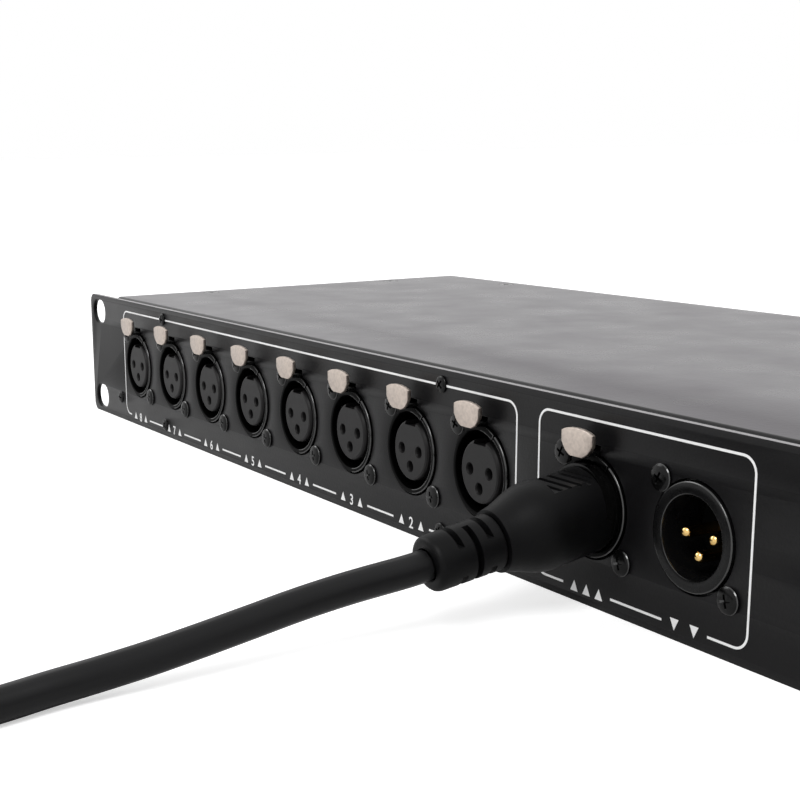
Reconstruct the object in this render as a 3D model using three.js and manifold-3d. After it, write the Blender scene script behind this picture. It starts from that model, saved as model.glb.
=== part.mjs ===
// A 19 inch rack splitter for three-pin lighting control lines. Eight outputs, a through output and an
// input share the front panel. A moulded plug sits in the through output and its cable lies in front.
// Millimetres, +Z up. While the pieces are made, X runs from the left end of the panel to the right,
// Y from the panel's front face into the case, and Z from the underside up. The last lines move the
// whole object so that the origin is under the middle of it.
import * as THREE from 'three';
import { mergeVertices } from 'three/addons/utils/BufferGeometryUtils.js';
import Module from 'manifold-3d';

const wasm = await Module();
wasm.setup();

// Clearances
const seatGap = 0.1;
const fitGap = 0.3;
const overrun = 1;
const weld = 0.2;

// Front panel
const panelWidth = 482.6;
const panelHeight = 43.8;
const panelThickness = 1.5;
const panelCorner = 3.2;
const slotInset = 8.75;
const slotSpacing = 31.75;
const slotWidth = 12;
const slotHeight = 8.6;

// Case, folded from sheet
const earWidth = 23.7;
const caseDepth = 146.2;
const coverRise = 0.4;
const sheet = 1.2;
const coverBend = 1.9;
const coverLip = 5.8;
const trayLip = 4.8;
const sideTab = 5.8;
const topFlange = 11;
const standoffRadius = 2.6;
const standoffHeight = 5.7;

// Vents in the rear wall
const ventCount = 8;
const ventWidth = 3;
const ventHeight = 18;
const ventPitch = 12;
const ventInset = 48.7;

// Screws
const panelHead = 3;
const panelHeadHeight = 1.5;
const panelHeadShare = 0.75;
const panelShank = 1.3;
const screwHole = 1.6;
const panelScrewInset = 4;
const panelScrewShares = [0.145, 0.502, 0.855];
const sideScrewInset = 5;
const sideScrewRise = 13.8;
const coverHead = 2.8;
const coverScrewInset = 6;
const coverSideScrews = [36.7, 114];
const coverRearScrew = 46.9;

// Sockets
const outputCount = 8;
const socketPitch = 30.3;
const firstSocketInset = 23.1;
const throughSocketInset = 275.7;
const inputSocketInset = 306.5;
const socketRise = 21.8;
const collarRadius = 11;
const collarProud = 0.5;
const collarGap = 0.45;
const femaleBore = 9.75;
const maleBore = 8.4;
const flangeWidth = 26;
const flangeLow = 7.7;
const flangeHigh = 37;
const flangeThickness = 2.2;
const flangeCorner = 2.5;
const bodyWidth = 23.4;
const bodyLow = 8.9;
const bodyHigh = 37;
const bodyCorner = 2;
const housingDepth = 20;
const housingFloor = 2;
const fixingHalfWidth = 10.1;
const fixingHalfHeight = 10.1;

// Contact inserts
const insertRadius = 7.7;
const insertProud = 0.4;
const insertChamfer = 0.7;
const insertTail = 1.5;
const contactHole = 1.35;
const contactDepth = 14;
const contactSpread = 3.9;
const contactRise = 0.1;
const contactDrop = 4.1;
const legSize = 0.9;

// Input pins
const pinRadius = 1.2;
const pinSetback = 1.45;
const pinShoulder = 1.9;
const pinShoulderLength = 0.8;
const pinTipLength = 1;
const insulatorRadius = 8.2;
const insulatorThickness = 2.1;
const insulatorFront = 9.8;
const insulatorBoss = 6.9;
const pinHoleRadius = 1.4;

// Push tabs
const tabWidth = 11.6;
const tabHeight = 6.8;
const tabRise = 35.7;
const tabProud = 4;
const tabThickness = 1.2;
const tabArch = 1.2;
const tabToe = 5.6;
const leverWidth = 7;
const leverTop = 34.4;
const leverThickness = 1.2;
const leverEnd = 15;
const hookFront = 2;
const hookLength = 2;
const hookTip = 30.6;
const hookWidth = 5;
const guideRadius = 0.8;
const guideReach = 5.2;
const guideDepth = 12.6;
const tabTravel = 1.2;
const tabRampDegrees = 50;
const channelFront = 1.4;

// Boards and what stands on them
const boardThickness = 1.6;
const boardFront = 5;
const mainBoardInset = 8.7;
const mainBoardDepth = 80;
const boardSpace = 6;
const powerBoardInset = 12.9;
const powerBoardWidth = 72;
const powerBoardFront = 45;
const powerBoardBackSpace = 34;
const boardInset = 6;
const chipLength = 9.6;
const chipWidth = 6.4;
const chipHeight = 3.4;
const chipRow = 52;
const headerWidth = 5;
const headerLength = 20;
const headerHeight = 6;
const headerInset = 7;
const headerRow = 60;
const capacitorRadius = 4;
const capacitorHeight = 13;
const capacitorInset = 8;
const transformerWidth = 41;
const transformerDepth = 35;
const transformerHeight = 32;
const transformerInset = 28;
const transformerBackSpace = 16;
const bobbinShare = 0.62;
const heatsinkInset = 11.5;
const heatsinkBackSpace = 8;
const heatsinkLength = 38;
const heatsinkDepth = 13;
const heatsinkHeight = 24;
const finCount = 7;
const finThickness = 1.4;
const ribbonThickness = 0.9;
const ribbonWidth = 17;
const ribbonRise = 9;

// Indicator lamps
const lampRadius = 2.5;
const lampFlange = 3.1;
const lampFlangeThickness = 1;
const lampProud = 2.2;
const lampBody = 3.5;
const lampShare = 0.39;
const lampSpacing = 9;
const lampLegSpread = 1.27;
const lampLeg = 0.6;
const lampLegReach = 8;

// Power switch
const switchInset = 28.9;
const switchWidth = 15;
const switchHeight = 21;
const switchProud = 1.4;
const switchCorner = 1.5;
const switchBodyWidth = 13.4;
const switchBodyHeight = 18.8;
const switchDepth = 17;
const switchWellWidth = 10.8;
const switchWellHeight = 16.6;
const switchWellDepth = 9;
const rockerWidth = 10.2;
const rockerHalf = 7.5;
const rockerCrown = 3;
const rockerWaist = 1.9;
const rockerBelly = 4;
const rockerPivotDepth = 1.5;
const rockerPin = 1.2;
const rockerPinReach = 6.1;
const rockerTiltDegrees = 9;
const bladeWidth = 4.8;
const bladeThickness = 0.8;
const bladeLength = 7;
const switchBladeSpread = 5;

// Mains inlet and its fuse drawer
const inletInset = 48.9;
const inletRise = 22;
const inletFlangeWidth = 48;
const inletFlangeHeight = 33;
const inletFlangeThickness = 2.5;
const inletFlangeCorner = 4;
const inletBodyWidth = 26.8;
const inletBodyHeight = 31;
const inletBodyDepth = 22;
const wellWidth = 24.4;
const wellHeight = 16.6;
const wellBevel = 5;
const wellDepth = 16;
const wellDrop = 5.1;
const mainsPinWidth = 2;
const mainsPinHeight = 4;
const mainsPinSpread = 7;
const mainsPinStep = 2;
const mainsPinSetback = 2;
const inletScrewSpread = 20;
const drawerWidth = 22;
const drawerHeight = 7;
const drawerLength = 19;
const drawerRise = 9.8;
const drawerFrontWidth = 24.4;
const drawerFrontHeight = 8.8;
const drawerFrontThickness = 1.6;
const drawerGrip = 0.9;
const pocketWidth = 20.4;
const pocketLength = 6;
const pocketSetback = 5;
const drawerWall = 1;
const wireRadius = 2.4;
const wireSteps = 22;
const wireSides = 6;
const fuseLength = 20;
const fuseCap = 2.6;
const fuseGlass = 2.4;
const fuseCapLength = 5;

// Plug in the through output, a soft moulding that droops under its cable
const shellRadius = 9.4;
const shellWall = 1.1;
const shellDepth = 12.5;
const shellHead = 0.9;
const shellSeat = 2;
const plugPin = 1.1;
const plugPinDepth = 11;
const plugStart = 2;
const barrelFront = 9.35;
const barrelWide = 9.6;
const barrelWideAt = 14;
const shoulderAt = 17.5;
const shoulderRadius = 9;
const neckAt = 23.3;
const neckRadius = 6.3;
const droopDegrees = 10;
const gripFlat = 7.6;
const gripStart = 3;
const gripEnd = 12.5;
const gripRidgeCount = 4;
const gripRidge = 0.8;
const windowHalfWidth = 3.4;
const windowStart = 1.4;
const windowEnd = 6.2;
const bootStart = 23.6;
const bootEnd = 41;
const bootRootRadius = 6.3;
const bootTipRadius = 5.2;
const bootCoreRadius = 3.9;
const bootSlotWidth = 1.5;
const bootSlotShares = [0.2, 0.42, 0.64];

// Cable. Its route is laid out on the surface that the case stands on, with X from the through socket.
const cordRadius = 3.1;
const cordSides = 10;
const cordRoute = [
  [-0.1, -45.6, 13.9], [-0.3, -57.8, 12.5], [-0.2, -69, 10.9], [0, -79.7, 9], [0.3, -90.2, 7.2],
  [0.6, -100.5, 5.6], [0.7, -110.3, 4.3], [2.1, -120.2, 3.6], [4.5, -130, 3.3], [6.9, -140.5, 3.3],
  [8.9, -152, 3.3],
];
const cordRunSteps = 12;
const coilMiddle = [-35, -171];
const coilMeanRadius = 34.5;
const coilPitch = 6.8;
const coilTurns = 6.25;
const coilStepsPerTurn = 24;
const coilSides = 6;
const coilLead = 6;
const tailLength = 26;
const tailSteps = 8;
const tailDropShares = [0.3, 0.75];
const tieThickness = 0.8;
const tieClearance = 0.45;
const tieWidth = 7;
const tieCorner = 3;
const tieLiftShares = [0.03, 0.14];

// Connector on the far end of the cable
const farRadius = 9.6;
const farLength = 30;
const farBootLength = 18;
const farFaceRecess = 1.2;
const farBore = 8.3;
const farBoreDepth = 14;
const farButtonLength = 9;
const farButtonWidth = 6;
const farButtonAt = 5;
const farButtonProud = 0.9;
const farButtonSink = 2.4;

// Facets
const roundFacets = 24;
const holeFacets = 16;
const insertFacets = 16;
const bootFacets = 12;
const pinFacets = 8;
const smallFacets = 6;
const headFacets = 8;

const panelMiddle = panelHeight / 2;
const caseHeight = panelHeight + coverRise;
const caseLeft = earWidth;
const caseRight = panelWidth - earWidth;
const firstSocket = caseLeft + firstSocketInset;
const throughSocket = caseLeft + throughSocketInset;
const inputSocket = caseLeft + inputSocketInset;
const switchCentre = caseRight - switchInset;
const inletCentre = caseRight - inletInset;
const lampMiddle = inputSocket + lampShare * (switchCentre - inputSocket);
const signalLamp = lampMiddle - lampSpacing / 2;
const powerLamp = lampMiddle + lampSpacing / 2;
const powerBoardRight = caseRight - powerBoardInset;
const powerBoardLeft = powerBoardRight - powerBoardWidth;
const powerBoardBack = caseDepth - powerBoardBackSpace;
const mainBoardLeft = caseLeft + mainBoardInset;
const mainBoardRight = powerBoardLeft - boardSpace;
const transformerLeft = powerBoardLeft + transformerInset;
const transformerFront = powerBoardBack - transformerBackSpace - transformerDepth;
const heatsinkLeft = powerBoardLeft + heatsinkInset;
const heatsinkFront = powerBoardBack - heatsinkBackSpace - heatsinkLength;
const panelScrewTop = caseHeight - panelScrewInset;
const panelScrewBottom = panelScrewInset;
const trayFront = panelThickness + seatGap;
const coverUnder = caseHeight - sheet;
const trayTop = coverUnder - seatGap;
const boardTop = sheet + standoffHeight + seatGap + boardThickness;
const boardUnder = boardTop - boardThickness;
const flangeFront = panelThickness + seatGap;
const coverScrewInsetY = caseDepth - coverScrewInset;

// Materials
const paint = { color: 0x1b1b1d, roughness: 0.55, metalness: 0.2 };
const plastic = { color: 0x161617, roughness: 0.5, metalness: 0 };
const softPlastic = { color: 0x1d1d1f, roughness: 0.75, metalness: 0 };
const zinc = { color: 0x8f9296, roughness: 0.4, metalness: 0.8 };
const nickel = { color: 0xd9d2c6, roughness: 0.3, metalness: 0.9 };
const gold = { color: 0xe0b252, roughness: 0.25, metalness: 0.9 };
const laminate = { color: 0x1f5b3a, roughness: 0.5, metalness: 0 };
const iron = { color: 0x5c5a57, roughness: 0.5, metalness: 0.6 };
const grey = { color: 0x9a9a98, roughness: 0.6, metalness: 0 };
const red = { color: 0xb2201a, roughness: 0.3, metalness: 0 };
const green = { color: 0x2f9c3f, roughness: 0.2, metalness: 0 };
const clear = { color: 0xd8dcdc, roughness: 0.1, metalness: 0 };

// A closed mesh as a solid that can be joined and cut
function solid(geometry) {
  const bare = geometry.index ? geometry.toNonIndexed() : geometry.clone();
  for (const name of Object.keys(bare.attributes)) {
    if (name !== 'position') bare.deleteAttribute(name);
  }
  const merged = mergeVertices(bare);
  return new wasm.Manifold(new wasm.Mesh({
    numProp: 3,
    vertProperties: Float32Array.from(merged.attributes.position.array),
    triVerts: Uint32Array.from(merged.index.array),
  }));
}

function geometryOf(body) {
  const mesh = body.getMesh();
  const geometry = new THREE.BufferGeometry();
  geometry.setAttribute('position', new THREE.BufferAttribute(Float32Array.from(mesh.vertProperties), 3));
  geometry.setIndex(new THREE.BufferAttribute(Uint32Array.from(mesh.triVerts), 1));
  return geometry;
}

// Box between two values along each axis
function box(x0, x1, y0, y1, z0, z1) {
  const geometry = new THREE.BoxGeometry(x1 - x0, y1 - y0, z1 - z0);
  geometry.translate((x0 + x1) / 2, (y0 + y1) / 2, (z0 + z1) / 2);
  return solid(geometry);
}

// Round bar or cone along Y, from y0 to y1
function rodY(x, z, y0, y1, r0, r1, facets) {
  const geometry = new THREE.CylinderGeometry(r1, r0, y1 - y0, facets);
  geometry.rotateY(Math.PI / facets);
  geometry.translate(x, (y0 + y1) / 2, z);
  return solid(geometry);
}

function rodX(y, z, x0, x1, radius, facets) {
  const geometry = new THREE.CylinderGeometry(radius, radius, x1 - x0, facets);
  geometry.rotateZ(Math.PI / 2);
  geometry.translate((x0 + x1) / 2, y, z);
  return solid(geometry);
}

function rodZ(x, y, z0, z1, r0, r1, facets) {
  const geometry = new THREE.CylinderGeometry(r1, r0, z1 - z0, facets);
  geometry.rotateX(Math.PI / 2);
  geometry.translate(x, y, (z0 + z1) / 2);
  return solid(geometry);
}

// Turned shape about the Y axis through x and z. The profile is a list of [radius, y] from front to back
// and both ends lie on the axis.
function turnedY(x, z, profile, facets) {
  const points = profile.map(([radius, y]) => new THREE.Vector2(radius, y));
  const geometry = new THREE.LatheGeometry(points, facets);
  geometry.rotateY(Math.PI / facets);
  geometry.translate(x, 0, z);
  return solid(geometry);
}

// Outline drawn as x and z, as thick as y0 to y1
function plateY(outline, y0, y1, curveSegments) {
  const geometry = new THREE.ExtrudeGeometry(outline, { depth: y1 - y0, bevelEnabled: false, curveSegments });
  geometry.rotateX(Math.PI / 2);
  geometry.translate(0, y1, 0);
  return solid(geometry);
}

// Outline drawn as y and z, as long as x0 to x1
function plateX(outline, x0, x1, curveSegments) {
  const geometry = new THREE.ExtrudeGeometry(outline, { depth: x1 - x0, bevelEnabled: false, curveSegments });
  geometry.applyMatrix4(new THREE.Matrix4().makeBasis(
    new THREE.Vector3(0, 1, 0), new THREE.Vector3(0, 0, 1), new THREE.Vector3(1, 0, 0)));
  geometry.translate(x0, 0, 0);
  return solid(geometry);
}

// Rounded rectangle about a centre
function roundedOutline(cx, cy, width, height, radius, path = new THREE.Shape()) {
  const right = cx + width / 2 - radius;
  const left = cx - width / 2 + radius;
  const top = cy + height / 2 - radius;
  const bottom = cy - height / 2 + radius;
  path.absarc(right, top, radius, 0, Math.PI / 2, false);
  path.absarc(left, top, radius, Math.PI / 2, Math.PI, false);
  path.absarc(left, bottom, radius, Math.PI, 1.5 * Math.PI, false);
  path.absarc(right, bottom, radius, 1.5 * Math.PI, 2 * Math.PI, false);
  path.closePath();
  return path;
}

function pathOf(points) {
  return new THREE.Shape(points.map(([a, b]) => new THREE.Vector2(a, b)));
}

function unite(list) {
  return list.reduce((whole, piece) => whole.add(piece));
}

const object = new THREE.Group();

function place(name, body, material, x = 0, y = 0, z = 0) {
  const mesh = new THREE.Mesh(geometryOf(body), new THREE.MeshStandardMaterial(material));
  mesh.name = name;
  mesh.position.set(x, y, z);
  object.add(mesh);
  return mesh;
}

const femaleSockets = Array.from({ length: outputCount }, (_, i) => ({
  name: `output_${outputCount - i}`,
  x: firstSocket + i * socketPitch,
}));
femaleSockets.push({ name: 'through', x: throughSocket });
const socketCentres = [...femaleSockets.map((socket) => socket.x), inputSocket];
const panelScrewPlaces = panelScrewShares.map((share) => share * panelWidth);
const sideScrewPlaces = [caseLeft + sideScrewInset, caseRight - sideScrewInset]
  .flatMap((x) => [[x, panelMiddle - sideScrewRise], [x, panelMiddle + sideScrewRise]]);

// Pan head and shank of a panel screw, from the front of the panel back into what it holds
function panelScrew(x, z, y1) {
  const front = -seatGap - panelHeadHeight;
  return rodY(x, z, front, -seatGap, panelHead * panelHeadShare, panelHead, headFacets)
    .add(rodY(x, z, -seatGap - weld, y1, panelShank, panelShank, smallFacets));
}

function frontPanel() {
  const outline = roundedOutline(panelWidth / 2, panelMiddle, panelWidth, panelHeight, panelCorner);
  const round = (x, z, radius) => outline.holes.push(new THREE.Path().absarc(x, z, radius, 0, 2 * Math.PI));
  for (const x of [slotInset, panelWidth - slotInset]) {
    for (const side of [-1, 1]) {
      const z = panelMiddle + side * slotSpacing / 2;
      outline.holes.push(roundedOutline(x, z, slotWidth, slotHeight, slotHeight / 2, new THREE.Path()));
    }
  }
  const plate = plateY(outline, 0, panelThickness, 4);
  const cuts = [];
  const bore = (x, z, radius, facets) => cuts.push(
    rodY(x, z, -overrun, panelThickness + overrun, radius, radius, facets));
  for (const x of socketCentres) {
    bore(x, socketRise, collarRadius + collarGap, holeFacets);
    bore(x - fixingHalfWidth, socketRise + fixingHalfHeight, screwHole, smallFacets);
    bore(x + fixingHalfWidth, socketRise - fixingHalfHeight, screwHole, smallFacets);
  }
  for (const { x } of femaleSockets) {
    const half = leverWidth / 2 + 2 * fitGap;
    const lift = tabTravel * Math.sin(THREE.MathUtils.degToRad(tabRampDegrees));
    const top = leverTop + lift + 2 * fitGap;
    cuts.push(box(x - half, x + half, -overrun, panelThickness + overrun, socketRise, top));
  }
  for (const x of panelScrewPlaces) {
    bore(x, panelScrewTop, screwHole, smallFacets);
    bore(x, panelScrewBottom, screwHole, smallFacets);
  }
  for (const [x, z] of sideScrewPlaces) bore(x, z, screwHole, smallFacets);
  for (const x of [signalLamp, powerLamp]) bore(x, panelMiddle, lampRadius + fitGap, headFacets);
  cuts.push(box(switchCentre - switchBodyWidth / 2 - fitGap, switchCentre + switchBodyWidth / 2 + fitGap,
    -overrun, panelThickness + overrun,
    panelMiddle - switchBodyHeight / 2 - fitGap, panelMiddle + switchBodyHeight / 2 + fitGap));
  place('front_panel', plate.subtract(unite(cuts)), paint);
}

// Places of the countersunk screws that hold the cover, as x and y
const coverScrewPlaces = [
  ...coverSideScrews.flatMap((y) => [[caseLeft + coverScrewInset, y], [caseRight - coverScrewInset, y]]),
  [caseLeft + coverRearScrew, coverScrewInsetY], [caseRight - coverRearScrew, coverScrewInsetY],
];

function chassisTray() {
  const back = caseDepth;
  const pieces = [
    box(caseLeft, caseRight, trayFront, back, 0, sheet),
    box(caseLeft, caseRight, trayFront, trayFront + sheet, 0, sheet + trayLip),
    box(caseLeft, caseRight, back - sheet, back, 0, trayTop),
    box(caseLeft, caseRight, back - topFlange, back, trayTop - sheet, trayTop),
  ];
  for (const [x0, x1, tab, flange] of [
    [caseLeft, caseLeft + sheet, caseLeft + sheet + sideTab, caseLeft + topFlange],
    [caseRight - sheet, caseRight, caseRight - sheet - sideTab, caseRight - topFlange],
  ]) {
    pieces.push(box(x0, x1, trayFront, back, 0, trayTop - coverLip));
    pieces.push(box(x0, x1, trayFront + 2 * coverBend, back, trayTop - coverLip - weld, trayTop));
    pieces.push(box(Math.min(x0, tab), Math.max(x1, tab), trayFront, trayFront + sheet, 0, trayTop - coverLip));
    pieces.push(box(Math.min(x0, flange), Math.max(x1, flange), trayFront + 2 * coverBend, back,
      trayTop - sheet, trayTop));
  }
  for (const [x, y] of standoffPlaces()) {
    pieces.push(rodZ(x, y, sheet - weld, sheet + standoffHeight, standoffRadius, standoffRadius, smallFacets));
  }
  for (const x of panelScrewPlaces) {
    pieces.push(panelScrew(x, panelScrewBottom, trayFront + sheet));
  }
  for (const [x, z] of sideScrewPlaces) {
    if (z < trayTop - coverLip) pieces.push(panelScrew(x, z, trayFront + sheet));
  }
  for (const [x, y] of coverScrewPlaces) {
    const top = caseHeight;
    pieces.push(rodZ(x, y, top - sheet, top, panelShank, coverHead, headFacets));
    pieces.push(rodZ(x, y, trayTop - 2 * sheet, top - sheet / 2, panelShank, panelShank, smallFacets));
  }
  const cuts = [box(inletCentre - inletBodyWidth / 2 - fitGap, inletCentre + inletBodyWidth / 2 + fitGap,
    back - sheet - overrun, back + overrun,
    inletRise - inletBodyHeight / 2 - fitGap, inletRise + inletBodyHeight / 2 + fitGap)];
  for (const side of [-1, 1]) {
    cuts.push(rodY(inletCentre + side * inletScrewSpread, inletRise, back - sheet - overrun, back + overrun,
      screwHole, screwHole, smallFacets));
  }
  for (let i = 0; i < ventCount; i += 1) {
    const outline = roundedOutline(caseLeft + ventInset + i * ventPitch, panelMiddle, ventWidth, ventHeight,
      ventWidth / 2);
    cuts.push(plateY(outline, back - sheet - overrun, back + overrun, 1));
  }
  place('chassis_tray', unite(pieces).subtract(unite(cuts)), paint);
}

// The posts under the corners of both boards and the middle of the long one
function standoffPlaces() {
  const mainBack = boardFront + mainBoardDepth - boardInset;
  const mainFront = boardFront + boardInset;
  const mainMiddle = (mainBoardLeft + mainBoardRight) / 2;
  const places = [];
  for (const x of [mainBoardLeft + boardInset, mainMiddle, mainBoardRight - boardInset]) {
    places.push([x, mainFront], [x, mainBack]);
  }
  for (const x of [powerBoardLeft + boardInset, powerBoardRight - boardInset]) {
    places.push([x, powerBoardFront + boardInset], [x, powerBoardBack - boardInset]);
  }
  return places;
}

function topCover() {
  const outline = new THREE.Shape();
  outline.moveTo(caseDepth, coverUnder);
  outline.lineTo(caseDepth, caseHeight);
  outline.absarc(trayFront + coverBend, caseHeight - coverBend, coverBend, Math.PI / 2, Math.PI, false);
  outline.lineTo(trayFront, coverUnder - coverLip);
  outline.lineTo(trayFront + sheet, coverUnder - coverLip);
  outline.absarc(trayFront + coverBend, caseHeight - coverBend, coverBend - sheet, Math.PI, Math.PI / 2, true);
  outline.closePath();
  const cuts = coverScrewPlaces.map(([x, y]) => rodZ(x, y, coverUnder - overrun, caseHeight + overrun,
    screwHole, screwHole, smallFacets));
  for (const [x, y] of coverScrewPlaces) {
    const rim = coverHead + fitGap;
    const slope = (coverHead - panelShank) / sheet;
    cuts.push(rodZ(x, y, coverUnder, caseHeight + overrun, screwHole, rim + slope * overrun, headFacets));
  }
  const cover = plateX(outline, caseLeft, caseRight, 4).subtract(unite(cuts));
  const screws = panelScrewPlaces.map((x) => panelScrew(x, panelScrewTop, trayFront + sheet));
  place('top_cover', cover.add(unite(screws)), paint);
}

// Flange behind the panel, body behind the flange, collar through the panel and the two fixing screws
function socketBlank() {
  const flangeMiddle = (flangeLow + flangeHigh) / 2;
  const bodyMiddle = (bodyLow + bodyHigh) / 2;
  const flange = roundedOutline(0, flangeMiddle, flangeWidth, flangeHigh - flangeLow, flangeCorner);
  const body = roundedOutline(0, bodyMiddle, bodyWidth, bodyHigh - bodyLow, bodyCorner);
  return unite([
    plateY(flange, flangeFront, flangeFront + flangeThickness, 1),
    plateY(body, flangeFront + weld, housingDepth, 1),
    turnedY(0, socketRise, [[0, -collarProud], [collarRadius - collarProud / 2, -collarProud],
      [collarRadius, -collarProud / 2], [collarRadius, flangeFront + weld], [0, flangeFront + weld]],
    roundFacets),
    panelScrew(-fixingHalfWidth, socketRise + fixingHalfHeight, flangeFront + weld),
    panelScrew(fixingHalfWidth, socketRise - fixingHalfHeight, flangeFront + weld),
  ]);
}

// Straight-sided track, drawn as y and z, that the tab's guide pin climbs
function guideTrack() {
  const ramp = THREE.MathUtils.degToRad(tabRampDegrees);
  const pinHeight = leverTop - leverThickness / 2;
  const half = guideRadius + fitGap;
  const reach = tabTravel + half;
  const along = [Math.cos(ramp), Math.sin(ramp)];
  const across = [-along[1], along[0]];
  const corner = (a, b) => [guideDepth + a * along[0] + b * across[0], pinHeight + a * along[1] + b * across[1]];
  return pathOf([corner(-half, -half), corner(reach, -half), corner(reach, half), corner(-half, half)]);
}

function femaleHousing() {
  const channelHalf = leverWidth / 2 + fitGap;
  const cuts = unite([
    rodY(0, socketRise, -collarProud - overrun, housingDepth - housingFloor, femaleBore, femaleBore, roundFacets),
    rodY(0, socketRise, -overrun, housingDepth + overrun, insertRadius + fitGap, insertRadius + fitGap,
      insertFacets),
    box(-channelHalf, channelHalf, channelFront, housingDepth - housingFloor,
      socketRise + insertRadius - overrun, flangeHigh + overrun),
    plateX(guideTrack(), -guideReach - fitGap, guideReach + fitGap, 1),
  ]);
  return socketBlank().subtract(cuts);
}

function contactPlaces() {
  return [[-contactSpread, contactRise], [contactSpread, contactRise], [0, -contactDrop]];
}

// A leg that leaves the back of a contact and stands on the board
function solderLeg(x, z, y) {
  return box(x - legSize / 2, x + legSize / 2, y, y + legSize, boardTop + seatGap, z + legSize);
}

function contactInsert(facePlace) {
  const back = housingDepth + insertTail;
  const body = turnedY(0, socketRise, [[0, facePlace], [insertRadius - insertChamfer, facePlace],
    [insertRadius, facePlace + insertChamfer], [insertRadius, back], [0, back]], insertFacets);
  const holes = contactPlaces().map(([x, z]) => rodY(x, socketRise + z, facePlace - overrun,
    facePlace + contactDepth, contactHole, contactHole, pinFacets));
  const legs = contactPlaces().map(([x, z]) => solderLeg(x, socketRise + z, back - weld));
  return body.subtract(unite(holes)).add(unite(legs));
}

// Shield outline of the tab, drawn as x and z
function tabOutline() {
  const half = tabWidth / 2;
  const low = tabRise - tabHeight / 2;
  const high = tabRise + tabHeight / 2;
  const shape = new THREE.Shape();
  shape.moveTo(-tabToe / 2, low);
  shape.lineTo(tabToe / 2, low);
  shape.quadraticCurveTo(half * 0.8, low + tabHeight * 0.1, half, tabRise - tabHeight * 0.05);
  shape.lineTo(half, high - tabArch);
  shape.quadraticCurveTo(half * 0.62, high, 0, high);
  shape.quadraticCurveTo(-half * 0.62, high, -half, high - tabArch);
  shape.lineTo(-half, tabRise - tabHeight * 0.05);
  shape.quadraticCurveTo(-half * 0.8, low + tabHeight * 0.1, -tabToe / 2, low);
  return shape;
}

function pushTab() {
  const back = -tabProud + tabThickness;
  const low = leverTop - leverThickness;
  const lever = pathOf([
    [back - tabThickness / 2, low], [hookFront, low], [hookFront + hookLength / 2, hookTip],
    [hookFront + hookLength, hookTip], [hookFront + hookLength, low], [leverEnd, low], [leverEnd, leverTop],
    [back - tabThickness / 2, leverTop],
  ]);
  return unite([
    plateY(tabOutline(), -tabProud, back, 3),
    plateX(lever, -hookWidth / 2, hookWidth / 2, 1),
    box(-leverWidth / 2, leverWidth / 2, back - tabThickness / 2, leverEnd, low, leverTop),
    rodX(guideDepth, leverTop - leverThickness / 2, -guideReach, guideReach, guideRadius, smallFacets),
  ]);
}

function femaleSocketSet() {
  const housing = femaleHousing();
  const insert = contactInsert(-insertProud);
  const tab = pushTab();
  for (const { name, x } of femaleSockets) {
    place(`${name}_housing`, housing, plastic, x);
    place(`${name}_insert`, insert, plastic, x);
    place(`${name}_push_tab`, tab, nickel, x);
  }
}

function inputSocketSet() {
  const shoulder = insulatorFront + insulatorThickness + seatGap;
  const housing = socketBlank().subtract(unite([
    rodY(0, socketRise, -collarProud - overrun, shoulder, maleBore, maleBore, roundFacets),
    rodY(0, socketRise, 0, housingDepth + overrun, insulatorBoss + fitGap, insulatorBoss + fitGap, insertFacets),
  ]));
  place('input_housing', housing, plastic, inputSocket);

  const bossEnd = housingDepth + seatGap;
  const insulator = turnedY(0, socketRise, [[0, insulatorFront], [insulatorRadius, insulatorFront],
    [insulatorRadius, insulatorFront + insulatorThickness], [insulatorBoss, insulatorFront + insulatorThickness],
    [insulatorBoss, bossEnd], [0, bossEnd]], insertFacets);
  const holes = contactPlaces().map(([x, z]) => rodY(x, socketRise + z, insulatorFront - overrun,
    bossEnd + overrun, pinHoleRadius, pinHoleRadius, pinFacets));
  place('input_insulator', insulator.subtract(unite(holes)), plastic, inputSocket);

  const tip = pinSetback - collarProud;
  const shoulderFront = bossEnd + seatGap;
  const end = shoulderFront + pinShoulderLength;
  contactPlaces().forEach(([x, z], i) => {
    const pin = turnedY(x, socketRise + z, [[0, tip], [pinRadius * 0.6, tip + pinTipLength * 0.25],
      [pinRadius, tip + pinTipLength], [pinRadius, shoulderFront], [pinShoulder, shoulderFront],
      [pinShoulder, end], [0, end]], pinFacets);
    place(`input_pin_${i + 1}`, pin.add(solderLeg(x, socketRise + z, end - weld)), gold, inputSocket);
  });
}

function header(x, y) {
  return box(x - headerWidth / 2, x + headerWidth / 2, y - headerLength / 2, y + headerLength / 2,
    boardTop - weld, boardTop + headerHeight);
}

function boards() {
  const mainBack = boardFront + mainBoardDepth;
  const pieces = [box(mainBoardLeft, mainBoardRight, boardFront, mainBack, boardUnder, boardTop)];
  const outputs = femaleSockets.slice(0, outputCount).map((socket) => socket.x);
  for (const x of [...outputs, (throughSocket + inputSocket) / 2]) {
    pieces.push(box(x - chipLength / 2, x + chipLength / 2, chipRow - chipWidth / 2, chipRow + chipWidth / 2,
      boardTop - weld, boardTop + chipHeight));
  }
  pieces.push(header(mainBoardRight - headerInset, headerRow));
  place('main_board', unite(pieces), laminate);

  const power = [
    box(powerBoardLeft, powerBoardRight, powerBoardFront, powerBoardBack, boardUnder, boardTop),
    header(powerBoardLeft + headerInset, headerRow),
    rodZ(powerBoardLeft + boardInset, powerBoardBack - capacitorInset, boardTop - weld,
      boardTop + capacitorHeight, capacitorRadius, capacitorRadius, headFacets),
  ];
  place('power_board', unite(power), laminate);
}

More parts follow.
